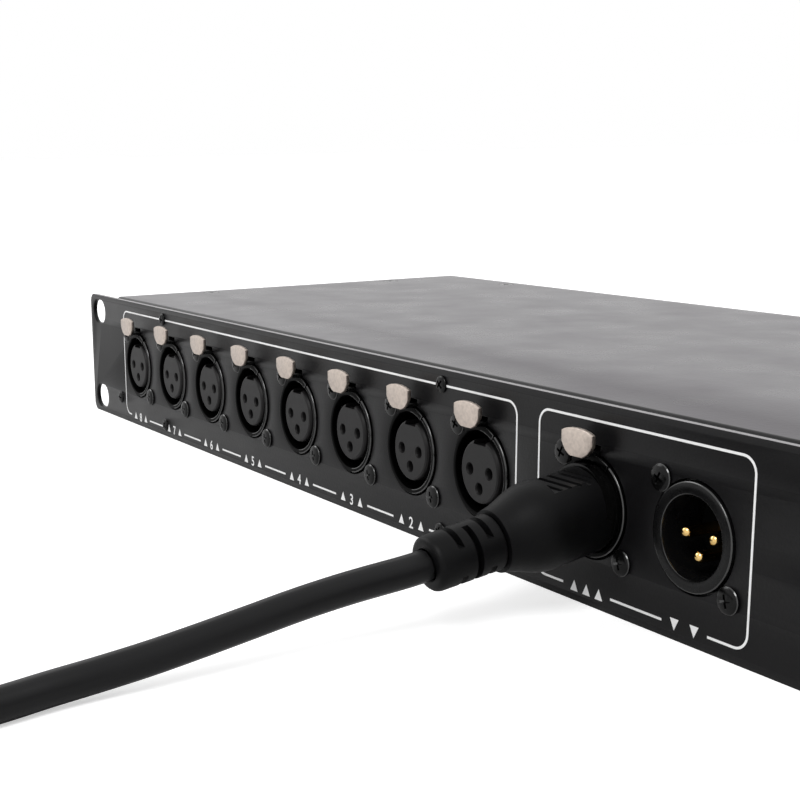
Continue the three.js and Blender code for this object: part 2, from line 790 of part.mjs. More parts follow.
function mainsTransformer() {
  const base = boardTop + seatGap;
  const top = base + transformerHeight;
  const middle = transformerFront + transformerDepth / 2;
  const core = transformerDepth * (1 - bobbinShare) / 2;
  const centre = transformerLeft + transformerWidth / 2;
  const bobbinHalf = transformerWidth * bobbinShare / 2;
  const pieces = [
    box(transformerLeft, transformerLeft + transformerWidth, middle - core, middle + core, base + weld, top),
    box(centre - bobbinHalf, centre + bobbinHalf, transformerFront, transformerFront + transformerDepth,
      base, top - transformerHeight * (1 - bobbinShare) / 2),
  ];
  place('mains_transformer', unite(pieces), iron);
}

function heatsink() {
  const base = boardTop + seatGap;
  const pitch = (heatsinkLength - finThickness) / (finCount - 1);
  const pieces = [box(heatsinkLeft, heatsinkLeft + 2 * finThickness, heatsinkFront,
    heatsinkFront + heatsinkLength, base, base + heatsinkHeight)];
  for (let i = 0; i < finCount; i += 1) {
    const y = heatsinkFront + i * pitch;
    pieces.push(box(heatsinkLeft + weld, heatsinkLeft + heatsinkDepth, y, y + finThickness,
      base, base + heatsinkHeight));
  }
  place('regulator_heatsink', unite(pieces), zinc);
}

// Flat ribbon that arches from the header on one board to the header on the other
function linkRibbon() {
  const x0 = mainBoardRight - headerInset;
  const x1 = powerBoardLeft + headerInset;
  const base = boardTop + headerHeight + seatGap;
  const middle = (x0 + x1) / 2;
  const outer = (x1 - x0) / 2 + ribbonThickness / 2;
  const inner = outer - ribbonThickness;
  const shape = new THREE.Shape();
  shape.moveTo(middle + outer, base);
  shape.absellipse(middle, base, outer, ribbonRise, 0, Math.PI, false);
  shape.lineTo(middle - inner, base);
  shape.absellipse(middle, base, inner, ribbonRise - ribbonThickness, Math.PI, 0, true);
  shape.closePath();
  place('link_ribbon', plateY(shape, headerRow - ribbonWidth / 2, headerRow + ribbonWidth / 2, smallFacets), grey);
}

function lamp(name, x, material) {
  const back = panelThickness + seatGap + lampFlangeThickness;
  const tail = back + lampBody;
  const front = -lampProud;
  const body = turnedY(0, panelMiddle, [[0, front], [lampRadius * 0.55, front + lampRadius * 0.17],
    [lampRadius * 0.9, front + lampRadius * 0.56], [lampRadius, front + lampRadius],
    [lampRadius, panelThickness + seatGap], [lampFlange, panelThickness + seatGap], [lampFlange, back],
    [lampRadius, back], [lampRadius, tail], [0, tail]], headFacets);
  const legs = [-1, 1].flatMap((side) => {
    const left = side * lampLegSpread - lampLeg / 2;
    const right = left + lampLeg;
    return [
      box(left, right, tail - weld, tail + lampLegReach, panelMiddle, panelMiddle + lampLeg),
      box(left, right, tail + lampLegReach - lampLeg, tail + lampLegReach, boardTop + seatGap, panelMiddle + lampLeg),
    ];
  });
  place(name, body.add(unite(legs)), material, x);
}

function powerSwitch() {
  const wellHalf = switchWellWidth / 2;
  const pivotHole = rockerPin + fitGap;
  const bezel = roundedOutline(0, panelMiddle, switchWidth, switchHeight, switchCorner);
  const body = switchBodyHeight / 2;
  const frame = unite([
    plateY(bezel, -seatGap - switchProud, -seatGap, 3),
    box(-switchBodyWidth / 2, switchBodyWidth / 2, -seatGap - weld, switchDepth, panelMiddle - body,
      panelMiddle + body),
    ...[-1, 1].map((side) => box(-bladeWidth / 2, bladeWidth / 2, switchDepth - weld, switchDepth + bladeLength,
      panelMiddle + side * switchBladeSpread - bladeThickness / 2,
      panelMiddle + side * switchBladeSpread + bladeThickness / 2)),
  ]).subtract(unite([
    box(-wellHalf, wellHalf, -switchProud - overrun, switchWellDepth, panelMiddle - switchWellHeight / 2,
      panelMiddle + switchWellHeight / 2),
    rodX(rockerPivotDepth, panelMiddle, -rockerPinReach - seatGap, rockerPinReach + seatGap, pivotHole,
      headFacets),
  ]));
  place('power_switch_frame', frame, plastic, switchCentre);

  const outline = pathOf([[-rockerCrown, rockerHalf], [-rockerWaist, 0], [-rockerCrown, -rockerHalf],
    [0, -rockerHalf], [rockerBelly, -rockerHalf / 3], [rockerBelly, rockerHalf / 3], [0, rockerHalf]]);
  const rocker = unite([
    plateX(outline, -rockerWidth / 2, rockerWidth / 2, 1),
    rodX(0, 0, -rockerPinReach, rockerPinReach, rockerPin, headFacets),
  ]);
  const mesh = place('power_rocker', rocker, red, switchCentre, rockerPivotDepth, panelMiddle);
  mesh.rotation.x = THREE.MathUtils.degToRad(rockerTiltDegrees);
}

function mainsInlet() {
  const face = caseDepth + seatGap + inletFlangeThickness;
  const wellMiddle = -wellDrop;
  const wellFloor = face - wellDepth;
  const slotTop = drawerRise + drawerHeight / 2 + fitGap;
  const slotBottom = drawerRise - drawerHeight / 2 - fitGap;
  const bodyBack = caseDepth - inletBodyDepth;
  const well = pathOf([
    [-wellWidth / 2, wellMiddle - wellHeight / 2], [wellWidth / 2, wellMiddle - wellHeight / 2],
    [wellWidth / 2, wellMiddle + wellHeight / 2 - wellBevel], [wellWidth / 2 - wellBevel, wellMiddle + wellHeight / 2],
    [wellBevel - wellWidth / 2, wellMiddle + wellHeight / 2],
    [-wellWidth / 2, wellMiddle + wellHeight / 2 - wellBevel],
  ]);
  const shell = unite([
    plateY(roundedOutline(0, 0, inletFlangeWidth, inletFlangeHeight, inletFlangeCorner),
      caseDepth + seatGap, face, 3),
    box(-inletBodyWidth / 2, inletBodyWidth / 2, bodyBack, caseDepth + seatGap + weld,
      -inletBodyHeight / 2, inletBodyHeight / 2),
    ...[-1, 1].map((side) => rodY(side * inletScrewSpread, 0, face - weld, face + panelHeadHeight,
      panelHead, panelHead * 0.7, headFacets)),
    ...[-1, 1].map((side) => rodY(side * inletScrewSpread, 0, caseDepth - sheet, face, panelShank, panelShank,
      smallFacets)),
  ]).subtract(unite([
    plateY(well, wellFloor, face + overrun, 1),
    box(-drawerWidth / 2 - fitGap, drawerWidth / 2 + fitGap, face - drawerLength - fitGap, face + overrun,
      slotBottom, slotTop),
  ]));
  const pins = [[-mainsPinSpread, -mainsPinStep], [mainsPinSpread, -mainsPinStep], [0, mainsPinStep]]
    .flatMap(([x, z]) => [
      box(x - mainsPinWidth / 2, x + mainsPinWidth / 2, wellFloor - weld, face - mainsPinSetback,
        wellMiddle + z - mainsPinHeight / 2, wellMiddle + z + mainsPinHeight / 2),
      box(x - bladeWidth / 2, x + bladeWidth / 2, bodyBack - bladeLength, bodyBack + weld,
        wellMiddle + z - bladeThickness / 2, wellMiddle + z + bladeThickness / 2),
    ]);
  place('mains_inlet', shell.add(unite(pins)), plastic, inletCentre, 0, inletRise);

  const front = face + seatGap;
  const drawerEnd = face - drawerLength;
  const pocketEnd = face - pocketSetback;
  const pocketFloor = drawerRise - drawerHeight / 2 + drawerWall;
  const drawer = unite([
    box(-drawerFrontWidth / 2, drawerFrontWidth / 2, front, front + drawerFrontThickness,
      drawerRise - drawerFrontHeight / 2, drawerRise + drawerFrontHeight / 2),
    box(-drawerFrontWidth / 4, drawerFrontWidth / 4, front + drawerFrontThickness - weld,
      front + drawerFrontThickness + drawerGrip, drawerRise + drawerFrontHeight / 4,
      drawerRise + drawerFrontHeight / 2),
    box(-drawerWidth / 2, drawerWidth / 2, drawerEnd, front + weld,
      drawerRise - drawerHeight / 2, drawerRise + drawerHeight / 2),
  ]).subtract(box(-pocketWidth / 2, pocketWidth / 2, pocketEnd - pocketLength, pocketEnd, pocketFloor,
    drawerRise + drawerHeight));
  place('fuse_drawer', drawer, plastic, inletCentre, 0, inletRise);

  const half = fuseLength / 2;
  const cap = half - fuseCapLength;
  const fuse = new THREE.LatheGeometry([[0, -half], [fuseCap, -half], [fuseCap, -cap], [fuseGlass, -cap],
    [fuseGlass, cap], [fuseCap, cap], [fuseCap, half], [0, half]].map(([r, y]) => new THREE.Vector2(r, y)),
  headFacets);
  fuse.rotateZ(Math.PI / 2);
  place('glass_fuse', solid(fuse), clear, inletCentre, pocketEnd - pocketLength / 2,
    inletRise + pocketFloor + seatGap + fuseCap);
}

// Mains pair from the back of the inlet round the transformer to the back of the switch
function mainsWiring() {
  const inletBack = caseDepth - inletBodyDepth - bladeLength - fitGap;
  const switchBack = switchDepth + bladeLength + fitGap;
  const lane = caseRight - 3 * wireRadius;
  const low = inletRise - wellDrop;
  const route = new THREE.CatmullRomCurve3([
    new THREE.Vector3(inletCentre, inletBack, low),
    new THREE.Vector3(inletCentre, inletBack - 2 * wireRadius, low),
    new THREE.Vector3(inletCentre + 2 * bladeLength, inletBack - 2 * bladeLength, low),
    new THREE.Vector3(lane - bladeLength, inletBack - 3 * bladeLength, low),
    new THREE.Vector3(lane, (inletBack + switchBack) / 2, low),
    new THREE.Vector3(lane - bladeLength, switchBack + 2 * bladeLength, panelMiddle),
    new THREE.Vector3(switchCentre, switchBack + bladeLength, panelMiddle),
    new THREE.Vector3(switchCentre, switchBack, panelMiddle),
  ]);
  place('mains_wiring', tube(route, wireRadius, wireSteps, wireSides), grey);
}

// Round tube along a curve, closed at both ends
function tube(curve, radius, steps, sides) {
  const section = new THREE.Shape();
  for (let i = 0; i < sides; i += 1) {
    const angle = (2 * Math.PI * i) / sides;
    const [u, v] = [radius * Math.cos(angle), radius * Math.sin(angle)];
    if (i === 0) section.moveTo(u, v);
    else section.lineTo(u, v);
  }
  section.closePath();
  return solid(new THREE.ExtrudeGeometry(section, { steps, bevelEnabled: false, extrudePath: curve }));
}

// Boot of a moulded plug: a tapered sleeve with slots on alternate sides
function boot(y0, y1) {
  const length = y0 - y1;
  const rim = length / 20;
  const profile = [[0, y1], [bootTipRadius - rim, y1], [bootTipRadius, y1 + rim], [bootRootRadius, y0 - rim],
    [bootRootRadius - rim, y0], [0, y0]];
  const sleeve = turnedY(0, 0, profile, bootFacets);
  const cuts = bootSlotShares.map((share, i) => {
    const y = y0 - share * length;
    const ring = rodY(0, 0, y - bootSlotWidth / 2, y + bootSlotWidth / 2, 2 * bootRootRadius,
      2 * bootRootRadius, bootFacets)
      .subtract(rodY(0, 0, y - bootSlotWidth, y + bootSlotWidth, bootCoreRadius, bootCoreRadius, bootFacets));
    const bridge = bootRootRadius * 0.35;
    const web = i % 2 === 0
      ? box(-2 * bootRootRadius, 2 * bootRootRadius, y - bootSlotWidth, y + bootSlotWidth, -bridge, bridge)
      : box(-bridge, bridge, y - bootSlotWidth, y + bootSlotWidth, -2 * bootRootRadius, 2 * bootRootRadius);
    return ring.subtract(web);
  });
  return sleeve.subtract(unite(cuts));
}

function throughPlug() {
  const inner = shellRadius - shellWall;
  const shell = rodY(0, 0, -plugStart - shellSeat, shellDepth, shellRadius, shellRadius, roundFacets)
    .subtract(rodY(0, 0, -shellHead, shellDepth + overrun, inner, inner, insertFacets))
    .subtract(box(-windowHalfWidth, windowHalfWidth, windowStart, windowEnd, 0, shellRadius + overrun));
  const pins = contactPlaces().map(([x, z]) => rodY(x, z, -shellHead - weld, plugPinDepth, plugPin, plugPin,
    pinFacets));

  const profile = [[0, -neckAt], [neckRadius, -neckAt], [(neckRadius + shoulderRadius) / 2,
    -(neckAt + shoulderAt) / 2], [shoulderRadius, -shoulderAt], [barrelWide, -barrelWideAt],
  [barrelFront, -plugStart], [0, -plugStart]];
  const ridgePitch = (gripEnd - gripStart) / (2 * gripRidgeCount);
  const flat = [box(-shellRadius, shellRadius, -gripEnd, -gripStart, gripFlat, 2 * shellRadius)];
  for (let i = 0; i < gripRidgeCount; i += 1) {
    const y = -gripStart - (2 * i + 1) * ridgePitch;
    flat.push(box(-shellRadius, shellRadius, y - ridgePitch / 2, y + ridgePitch / 2, gripFlat - gripRidge,
      2 * shellRadius));
  }
  const barrel = turnedY(0, 0, profile, roundFacets).subtract(unite(flat));
  const droop = [droopDegrees, 0, 0];
  const body = unite([shell, ...pins]).add(barrel.rotate(droop));
  place('plug_body', body, softPlastic, throughSocket, 0, socketRise);

  place('plug_boot', boot(-bootStart, -bootEnd).rotate(droop), softPlastic, throughSocket, 0, socketRise);
}

// The coil spirals in on the lower layer, climbs in the half turn where the spiral reverses, and spirals
// out again on the upper layer. The angle runs clockwise from +X. It rises a little to pass over the tie,
// which is half a turn from the start.
const coilLow = cordRadius + seatGap;
const tieLift = tieThickness + tieClearance - seatGap;
const coilHigh = coilLow + coilPitch;
const coilReverse = coilTurns / 2;
const coilInner = coilMeanRadius - (coilReverse * coilPitch) / 2;

function coilPoint(turn) {
  const radius = coilInner + Math.abs(turn - coilReverse) * coilPitch;
  const climb = THREE.MathUtils.smoothstep(turn, coilReverse - 0.25, coilReverse + 0.25);
  const angle = -2 * Math.PI * turn;
  const fromTie = Math.abs(turn - Math.floor(turn) - 0.5);
  const lift = tieLift * (1 - THREE.MathUtils.smoothstep(fromTie, ...tieLiftShares));
  return new THREE.Vector3(
    throughSocket + coilMiddle[0] + radius * Math.cos(angle),
    coilMiddle[1] + radius * Math.sin(angle),
    coilLow + climb * (coilHigh - coilLow) + lift,
  );
}

function coilPath() {
  const start = coilPoint(0);
  const points = [new THREE.Vector3(start.x, start.y + coilLead, start.z)];
  const count = Math.round(coilTurns * coilStepsPerTurn);
  for (let i = 0; i <= count; i += 1) points.push(coilPoint((i * coilTurns) / count));
  const end = points[points.length - 1];
  for (let i = 1; i <= tailSteps; i += 1) {
    const share = i / tailSteps;
    const drop = THREE.MathUtils.smoothstep(share, ...tailDropShares);
    points.push(new THREE.Vector3(end.x - share * tailLength, end.y, end.z + drop * (farRadius - end.z)));
  }
  return points;
}

// One unbroken tube through a list of points, its section kept upright, in a buffer of its own
function tubeThrough(points, radius, sides) {
  const vertices = [];
  const faces = [];
  const up = new THREE.Vector3(0, 0, 1);
  points.forEach((point, i) => {
    const before = points[Math.max(i - 1, 0)];
    const after = points[Math.min(i + 1, points.length - 1)];
    const along = after.clone().sub(before).normalize();
    const side = new THREE.Vector3().crossVectors(along, up).normalize();
    const lift = new THREE.Vector3().crossVectors(side, along);
    for (let k = 0; k < sides; k += 1) {
      const angle = (2 * Math.PI * (k + 0.5)) / sides;
      const corner = point.clone().addScaledVector(side, radius * Math.cos(angle))
        .addScaledVector(lift, radius * Math.sin(angle));
      vertices.push(corner.x, corner.y, corner.z);
    }
  });
  const last = (points.length - 1) * sides;
  for (let i = 0; i < points.length - 1; i += 1) {
    for (let k = 0; k < sides; k += 1) {
      const a = i * sides + k;
      const b = i * sides + ((k + 1) % sides);
      faces.push(a, a + sides, b, b, a + sides, b + sides);
    }
  }
  for (let k = 1; k < sides - 1; k += 1) {
    faces.push(0, k, k + 1);
    faces.push(last, last + k + 1, last + k);
  }
  const geometry = new THREE.BufferGeometry();
  geometry.setAttribute('position', new THREE.BufferAttribute(Float32Array.from(vertices), 3));
  geometry.setIndex(faces);
  return solid(geometry);
}

// Least clear space between stretches of the coil that are more than a quarter turn apart
function leastGap(points, radius) {
  const apart = coilStepsPerTurn / 4;
  let least = Infinity;
  for (let i = 0; i < points.length; i += 1) {
    for (let j = i + apart; j < points.length - 1; j += 1) {
      const stretch = new THREE.Line3(points[j], points[j + 1]);
      const near = stretch.closestPointToPoint(points[i], true, new THREE.Vector3());
      least = Math.min(least, near.distanceTo(points[i]) - 2 * radius);
    }
  }
  return least;
}

function cable() {
  const coil = coilPath();
  const droop = THREE.MathUtils.degToRad(droopDegrees);
  const out = bootEnd + fitGap;
  const run = new THREE.CatmullRomCurve3([
    new THREE.Vector3(throughSocket, -out * Math.cos(droop), socketRise - out * Math.sin(droop)),
    ...cordRoute.map(([x, y, z]) => new THREE.Vector3(throughSocket + x, y, z)),
    new THREE.Vector3(coil[0].x, coil[0].y + cordRadius, coil[0].z),
    new THREE.Vector3(coil[0].x, coil[0].y + fitGap, coil[0].z),
  ]);
  place('cable_run', tube(run, cordRadius, cordRunSteps, cordSides), softPlastic);
  place('cable_coil', tubeThrough(coil, cordRadius, coilSides), softPlastic);
  console.log('least gap of the coil to itself, mm', leastGap(coil, cordRadius).toFixed(3));
  console.log('cable length, mm', (run.getLength()
    + coil.slice(1).reduce((sum, point, i) => sum + point.distanceTo(coil[i]), 0)).toFixed(1));

  const outer = coilPoint(0.5).x;
  const near = Math.max(coilPoint(2.5).x, coilPoint(3.5).x);
  const width = near - outer + 2 * (cordRadius + tieClearance + tieThickness);
  const height = coilHigh + tieLift + cordRadius + tieClearance + tieThickness;
  const middle = (near + outer) / 2;
  const band = plateY(roundedOutline(middle, height / 2, width, height, tieCorner), -tieWidth / 2, tieWidth / 2, 2);
  const hole = plateY(roundedOutline(middle, height / 2, width - 2 * tieThickness, height - 2 * tieThickness,
    tieCorner - tieThickness), -tieWidth, tieWidth, 2);
  place('coil_tie', band.subtract(hole), softPlastic, 0, coilMiddle[1]);
  return coil[coil.length - 1];
}

// Moulded connector that lies where the tail of the coil ends. It is made along -Y and turned to face -X.
function farConnector(end) {
  const front = farBootLength + farLength + 2 * fitGap;
  const bootPiece = boot(-fitGap, -fitGap - farBootLength);
  const bootMirror = bootPiece.mirror([0, 1, 0]).translate([0, -farBootLength - 2 * fitGap, 0]);
  const profile = [[0, -front], [farRadius - farFaceRecess, -front], [farRadius, -front + farFaceRecess],
    [farRadius, -farBootLength - farLength / 4], [bootRootRadius, -farBootLength - 2 * fitGap],
    [0, -farBootLength - 2 * fitGap]];
  const buttonSpan = [-front + farButtonAt, -front + farButtonAt + farButtonLength];
  const recess = farButtonWidth / 2 + fitGap;
  const body = turnedY(0, 0, profile, roundFacets)
    .subtract(rodY(0, 0, -front - overrun, -front + farBoreDepth, farBore, farBore, insertFacets))
    .subtract(box(-recess, recess, buttonSpan[0] - fitGap, buttonSpan[1] + fitGap, 0, 2 * farRadius));
  const insertFront = -front + farFaceRecess;
  const insertBack = -front + farBoreDepth - seatGap;
  const insertSize = insertRadius - fitGap - seatGap;
  const low = farRadius - farButtonSink - fitGap;
  const insert = turnedY(0, 0, [[0, insertFront], [insertSize, insertFront], [insertSize, insertBack],
    [0, insertBack]], insertFacets).subtract(unite([
    ...contactPlaces().map(([x, z]) => rodY(x, z, insertFront - overrun, insertBack - overrun, contactHole,
      contactHole, pinFacets)),
    box(-recess, recess, insertFront - overrun, insertBack + overrun, low - fitGap - overrun, 2 * farRadius),
  ]));
  const button = plateX(pathOf([[buttonSpan[0], low], [buttonSpan[1], low], [buttonSpan[1], farRadius],
    [buttonSpan[1] - farButtonProud, farRadius + farButtonProud],
    [buttonSpan[0] + farButtonProud, farRadius + farButtonProud], [buttonSpan[0], farRadius]]),
  -farButtonWidth / 2, farButtonWidth / 2, 1);
  const group = new THREE.Group();
  for (const [name, piece, material] of [['far_connector_boot', bootMirror, softPlastic],
    ['far_connector_body', body, softPlastic], ['far_connector_insert', insert, plastic],
    ['far_connector_button', button, zinc]]) {
    group.add(place(name, piece, material));
  }
  group.rotation.z = -Math.PI / 2;
  group.position.set(end.x, end.y, farRadius);
  object.add(group);
}

frontPanel();
chassisTray();
topCover();
femaleSocketSet();
inputSocketSet();
boards();
mainsTransformer();
heatsink();
linkRibbon();
lamp('signal_lamp', signalLamp, green);
lamp('power_lamp', powerLamp, red);
powerSwitch();
mainsInlet();
mainsWiring();
throughPlug();
farConnector(cable());

// The origin goes under the middle of the object without its cable: from the tabs' faces in front to the
// fuse drawer's grip behind.
const rearmost = caseDepth + 2 * seatGap + inletFlangeThickness + drawerFrontThickness + drawerGrip;
object.position.set(-panelWidth / 2, (tabProud - rearmost) / 2, 0);

export default object;
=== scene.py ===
# Looks of a 19 inch rack splitter for three-pin lighting control lines, with a plugged cable.
import bpy
import bmesh
import math
from mathutils import Matrix, Vector


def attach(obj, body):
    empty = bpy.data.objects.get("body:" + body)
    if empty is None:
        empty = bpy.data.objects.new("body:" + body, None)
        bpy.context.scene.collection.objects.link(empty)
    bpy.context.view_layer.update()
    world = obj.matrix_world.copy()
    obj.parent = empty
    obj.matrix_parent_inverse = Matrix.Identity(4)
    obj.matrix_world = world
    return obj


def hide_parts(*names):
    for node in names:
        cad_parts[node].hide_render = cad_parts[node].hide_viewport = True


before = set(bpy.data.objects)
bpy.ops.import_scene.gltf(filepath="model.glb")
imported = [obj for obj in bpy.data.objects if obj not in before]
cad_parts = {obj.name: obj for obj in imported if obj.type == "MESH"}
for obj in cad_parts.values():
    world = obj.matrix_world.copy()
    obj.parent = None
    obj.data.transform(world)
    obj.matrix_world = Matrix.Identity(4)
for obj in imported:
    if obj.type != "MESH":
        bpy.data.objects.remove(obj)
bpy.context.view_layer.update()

# Driving sizes in panel millimetres: X from the left end of the panel, Y into the case, Z up from below
PER_METRE = 1000
PANEL_WIDE, PANEL_HIGH, PANEL_THICK = 482.6, 43.8, 1.5
MIDDLE = PANEL_HIGH / 2
LEFT, RIGHT, DEPTH = 23.7, 458.9, 146.2
SHEET, COVER_TOP = 1.2, 44.2
OUTPUTS, FIRST, SPACING = 8, 46.8, 30.3
THROUGH, INPUT, RISE = 299.4, 330.2, 21.8
SWITCH_X = 430
ORIGIN = Vector((PANEL_WIDE / 2, 73.7, 0.0))
TO_ROW = Matrix.Scale(1 / PER_METRE, 4) @ Matrix.Translation(-ORIGIN)
SOCKETS = [(f"output_{OUTPUTS - i}", FIRST + SPACING * i) for i in range(OUTPUTS)] + [("through", THROUGH)]


def row(x, y, z):
    # A place in the frame of the row, in metres
    return Vector(((x - ORIGIN.x) / PER_METRE, (y - ORIGIN.y) / PER_METRE, z / PER_METRE))


def link(piece):
    bpy.context.scene.collection.objects.link(piece)
    return piece


# Camera, solved from the corners, frame lines and round sockets in the photograph. The photograph is a
# crop, so the middle of the lens is not the middle of the picture.
PHOTO_PX = 800
FOCAL_PX = 1520.2
LENS_MIDDLE_PX = (266.0, 503.0)
CAMERA_PLACE = (546.61, -198.23, 96.10)
YAW, DIP, ROLL = math.radians(63.667), math.radians(13.152), math.radians(-1.092)
SENSOR = 36


def place_camera():
    forward = Vector((-math.sin(YAW) * math.cos(DIP), math.cos(YAW) * math.cos(DIP), -math.sin(DIP)))
    level = forward.cross(Vector((0, 0, 1))).normalized()
    above = level.cross(forward)
    side = level * math.cos(ROLL) + above * math.sin(ROLL)
    up = above * math.cos(ROLL) - level * math.sin(ROLL)
    data = bpy.data.cameras.new("camera")
    data.sensor_width = SENSOR
    data.lens = FOCAL_PX * SENSOR / PHOTO_PX
    data.shift_x = (PHOTO_PX / 2 - LENS_MIDDLE_PX[0]) / PHOTO_PX
    data.shift_y = (LENS_MIDDLE_PX[1] - PHOTO_PX / 2) / PHOTO_PX
    data.clip_start = 0.01
    data.clip_end = 50
    camera = link(bpy.data.objects.new("camera", data))
    turn = Matrix((side, up, -forward)).transposed().to_4x4()
    camera.matrix_world = Matrix.Translation(row(*CAMERA_PLACE)) @ turn
    bpy.context.scene.camera = camera


place_camera()

# Cable: from the boot down to the floor, then a flat coil in two layers, and its connector
CORD = 3.3
DROOP = 10
BOOT_END = 41.3
ROUTE = [
    (-0.1, -45.6, 13.9), (-0.3, -57.8, 12.5), (-0.2, -69, 10.9), (0, -79.7, 9), (0.3, -90.2, 7.2),
    (0.6, -100.5, 5.6), (0.7, -110.3, 4.3), (2.1, -120.2, 3.7), (4.5, -130, 3.4), (6.9, -140.5, 3.4),
    (8.9, -152, 3.4),
]
COIL = (THROUGH - 35, -171)
TURNS, PITCH, MEAN = 6.25, 6.8, 34.5
INNER = MEAN - TURNS / 4 * PITCH
LOW, HIGH = 3.4, 10.05
RUN_IN, COIL_STEPS = 6, 150
TAIL, TAIL_STEPS, FAR_AXIS = 26, 8, 9.6
TIE_THICK, TIE_GAP = 0.8, 0.45
TIE_LIFT = TIE_THICK + TIE_GAP - (LOW - CORD)


def smooth(t, a, b):
    t = min(max((t - a) / (b - a), 0), 1)
    return t * t * (3 - 2 * t)


def coil_point(t):
    # After t turns. Halfway the cord climbs to the upper layer, and on the left it passes over the tie.
    r = INNER + abs(t - TURNS / 2) * PITCH
    climb = smooth(t, TURNS / 2 - 0.25, TURNS / 2 + 0.25)
    lift = TIE_LIFT * (1 - smooth(abs(t - math.floor(t) - 0.5), 0.03, 0.14))
    a = -2 * math.pi * t
    return (COIL[0] + r * math.cos(a), COIL[1] + r * math.sin(a), LOW + climb * (HIGH - LOW) + lift)


def cable_points():
    droop = math.radians(DROOP)
    start = coil_point(0)
    points = [(THROUGH, -BOOT_END * math.cos(droop), RISE - BOOT_END * math.sin(droop))]
    points += [(THROUGH + x, y, z) for x, y, z in ROUTE]
    points.append((start[0], start[1] + RUN_IN, start[2]))
    points += [coil_point(TURNS * i / COIL_STEPS) for i in range(COIL_STEPS + 1)]
    end = points[-1]
    for i in range(1, TAIL_STEPS + 1):
        s = i / TAIL_STEPS
        points.append((end[0] - TAIL * s, end[1], end[2] + smooth(s, 0.3, 0.75) * (FAR_AXIS - end[2])))
    return points


def cord_curve(name, pts, radius, sides):
    data = bpy.data.curves.new(name, "CURVE")
    data.dimensions = "3D"
    data.bevel_depth = radius / PER_METRE
    data.bevel_resolution = sides
    data.use_fill_caps = True
    spline = data.splines.new("POLY")
    spline.points.add(len(pts) - 1)
    for p, q in zip(spline.points, pts):
        p.co = (*row(*q), 1)
    spline.use_smooth = True
    return link(bpy.data.objects.new(name, data))


def catmull(pts, step):
    # Evenly fine points on a smooth curve through pts, about one step apart
    out = []
    v = [Vector(p) for p in pts]
    for i in range(len(v) - 1):
        p0, p1, p2, p3 = v[max(i - 1, 0)], v[i], v[i + 1], v[min(i + 2, len(v) - 1)]
        n = max(1, round((p2 - p1).length / step))
        for k in range(n):
            t = k / n
            out.append(0.5 * (2 * p1 + (p2 - p0) * t + (2 * p0 - 5 * p1 + 4 * p2 - p3) * t * t
                              + (3 * p1 - p0 - 3 * p2 + p3) * t ** 3))
    return out + [v[-1]]


fine = catmull(cable_points(), 2.0)
cable = cord_curve("cable", fine, CORD, 3)

# Procedural materials. Noise scales are per metre.
ROUGH_SPREAD, SMOOTHEST = 0.08, 0.02
RAMP = (0.3, 0.7)
RELIEF_DEPTH = 0.0002
COAT_ROUGH = 0.25


def material(name, color, rough, metal=0.0, spec=0.5, mottle=0.1, scale=300, grain=900, bump=0.1, coat=0.0,
             clear=0.0):
    # A cloudy tone and roughness, with a fine relief
    made = bpy.data.materials.new(name)
    made.use_nodes = True
    nodes, links = made.node_tree.nodes, made.node_tree.links
    shader = nodes["Principled BSDF"]
    shader.inputs["Metallic"].default_value = metal
    shader.inputs["Specular IOR Level"].default_value = spec
    if coat:
        shader.inputs["Coat Weight"].default_value = coat
        shader.inputs["Coat Roughness"].default_value = COAT_ROUGH
    if clear:
        shader.inputs["Transmission Weight"].default_value = clear
    place = nodes.new("ShaderNodeTexCoord")
    cloud, fine_noise = nodes.new("ShaderNodeTexNoise"), nodes.new("ShaderNodeTexNoise")
    for noise, size, detail in ((cloud, scale, 4), (fine_noise, grain, 3)):
        noise.inputs["Scale"].default_value = size
        noise.inputs["Detail"].default_value = detail
        links.new(place.outputs["Object"], noise.inputs["Vector"])
    ramp = nodes.new("ShaderNodeValToRGB")
    for element, position, share in zip(ramp.color_ramp.elements, RAMP, (1 - mottle, 1 + mottle)):
        element.position = position
        element.color = (*[min(1, c * share) for c in color], 1)
    links.new(cloud.outputs["Fac"], ramp.inputs["Fac"])
    links.new(ramp.outputs["Color"], shader.inputs["Base Color"])
    spread = nodes.new("ShaderNodeMapRange")
    spread.inputs["To Min"].default_value = max(SMOOTHEST, rough - ROUGH_SPREAD)
    spread.inputs["To Max"].default_value = min(1, rough + ROUGH_SPREAD)
    links.new(cloud.outputs["Fac"], spread.inputs["Value"])
    links.new(spread.outputs["Result"], shader.inputs["Roughness"])
    relief = nodes.new("ShaderNodeBump")
    relief.inputs["Strength"].default_value = bump
    relief.inputs["Distance"].default_value = RELIEF_DEPTH
    links.new(fine_noise.outputs["Fac"], relief.inputs["Height"])
    links.new(relief.outputs["Normal"], shader.inputs["Normal"])
    return made


SHEET_LOOK = dict(mottle=0.12, scale=60, grain=1100, bump=0.18)
WIRE_LOOK = dict(mottle=0.08, scale=400, bump=0.05)
LENS_LOOK = dict(mottle=0.08, scale=500, bump=0.02, coat=0.5)
PANEL = material("panel_paint", (0.0038, 0.0036, 0.0041), 0.34, spec=0.2, scale=60, grain=1400, bump=0.12)
TRAY = material("tray_paint", (0.011, 0.0106, 0.0113), 0.4, spec=0.4, **SHEET_LOOK)
COVER = material("cover_paint", (0.032, 0.025, 0.033), 0.29, spec=0.42, **SHEET_LOOK)
INK = material("white_ink", (0.86, 0.86, 0.86), 0.55, mottle=0.03, scale=400, bump=0.05)
PLASTIC = material("socket_plastic", (0.0035, 0.0035, 0.0037), 0.27, spec=0.22, bump=0.06)
INSERT = material("insert_plastic", (0.0098, 0.0093, 0.0096), 0.45, spec=0.2)
DARK = material("bore_plastic", (0.001, 0.001, 0.001), 0.55, spec=0.1)
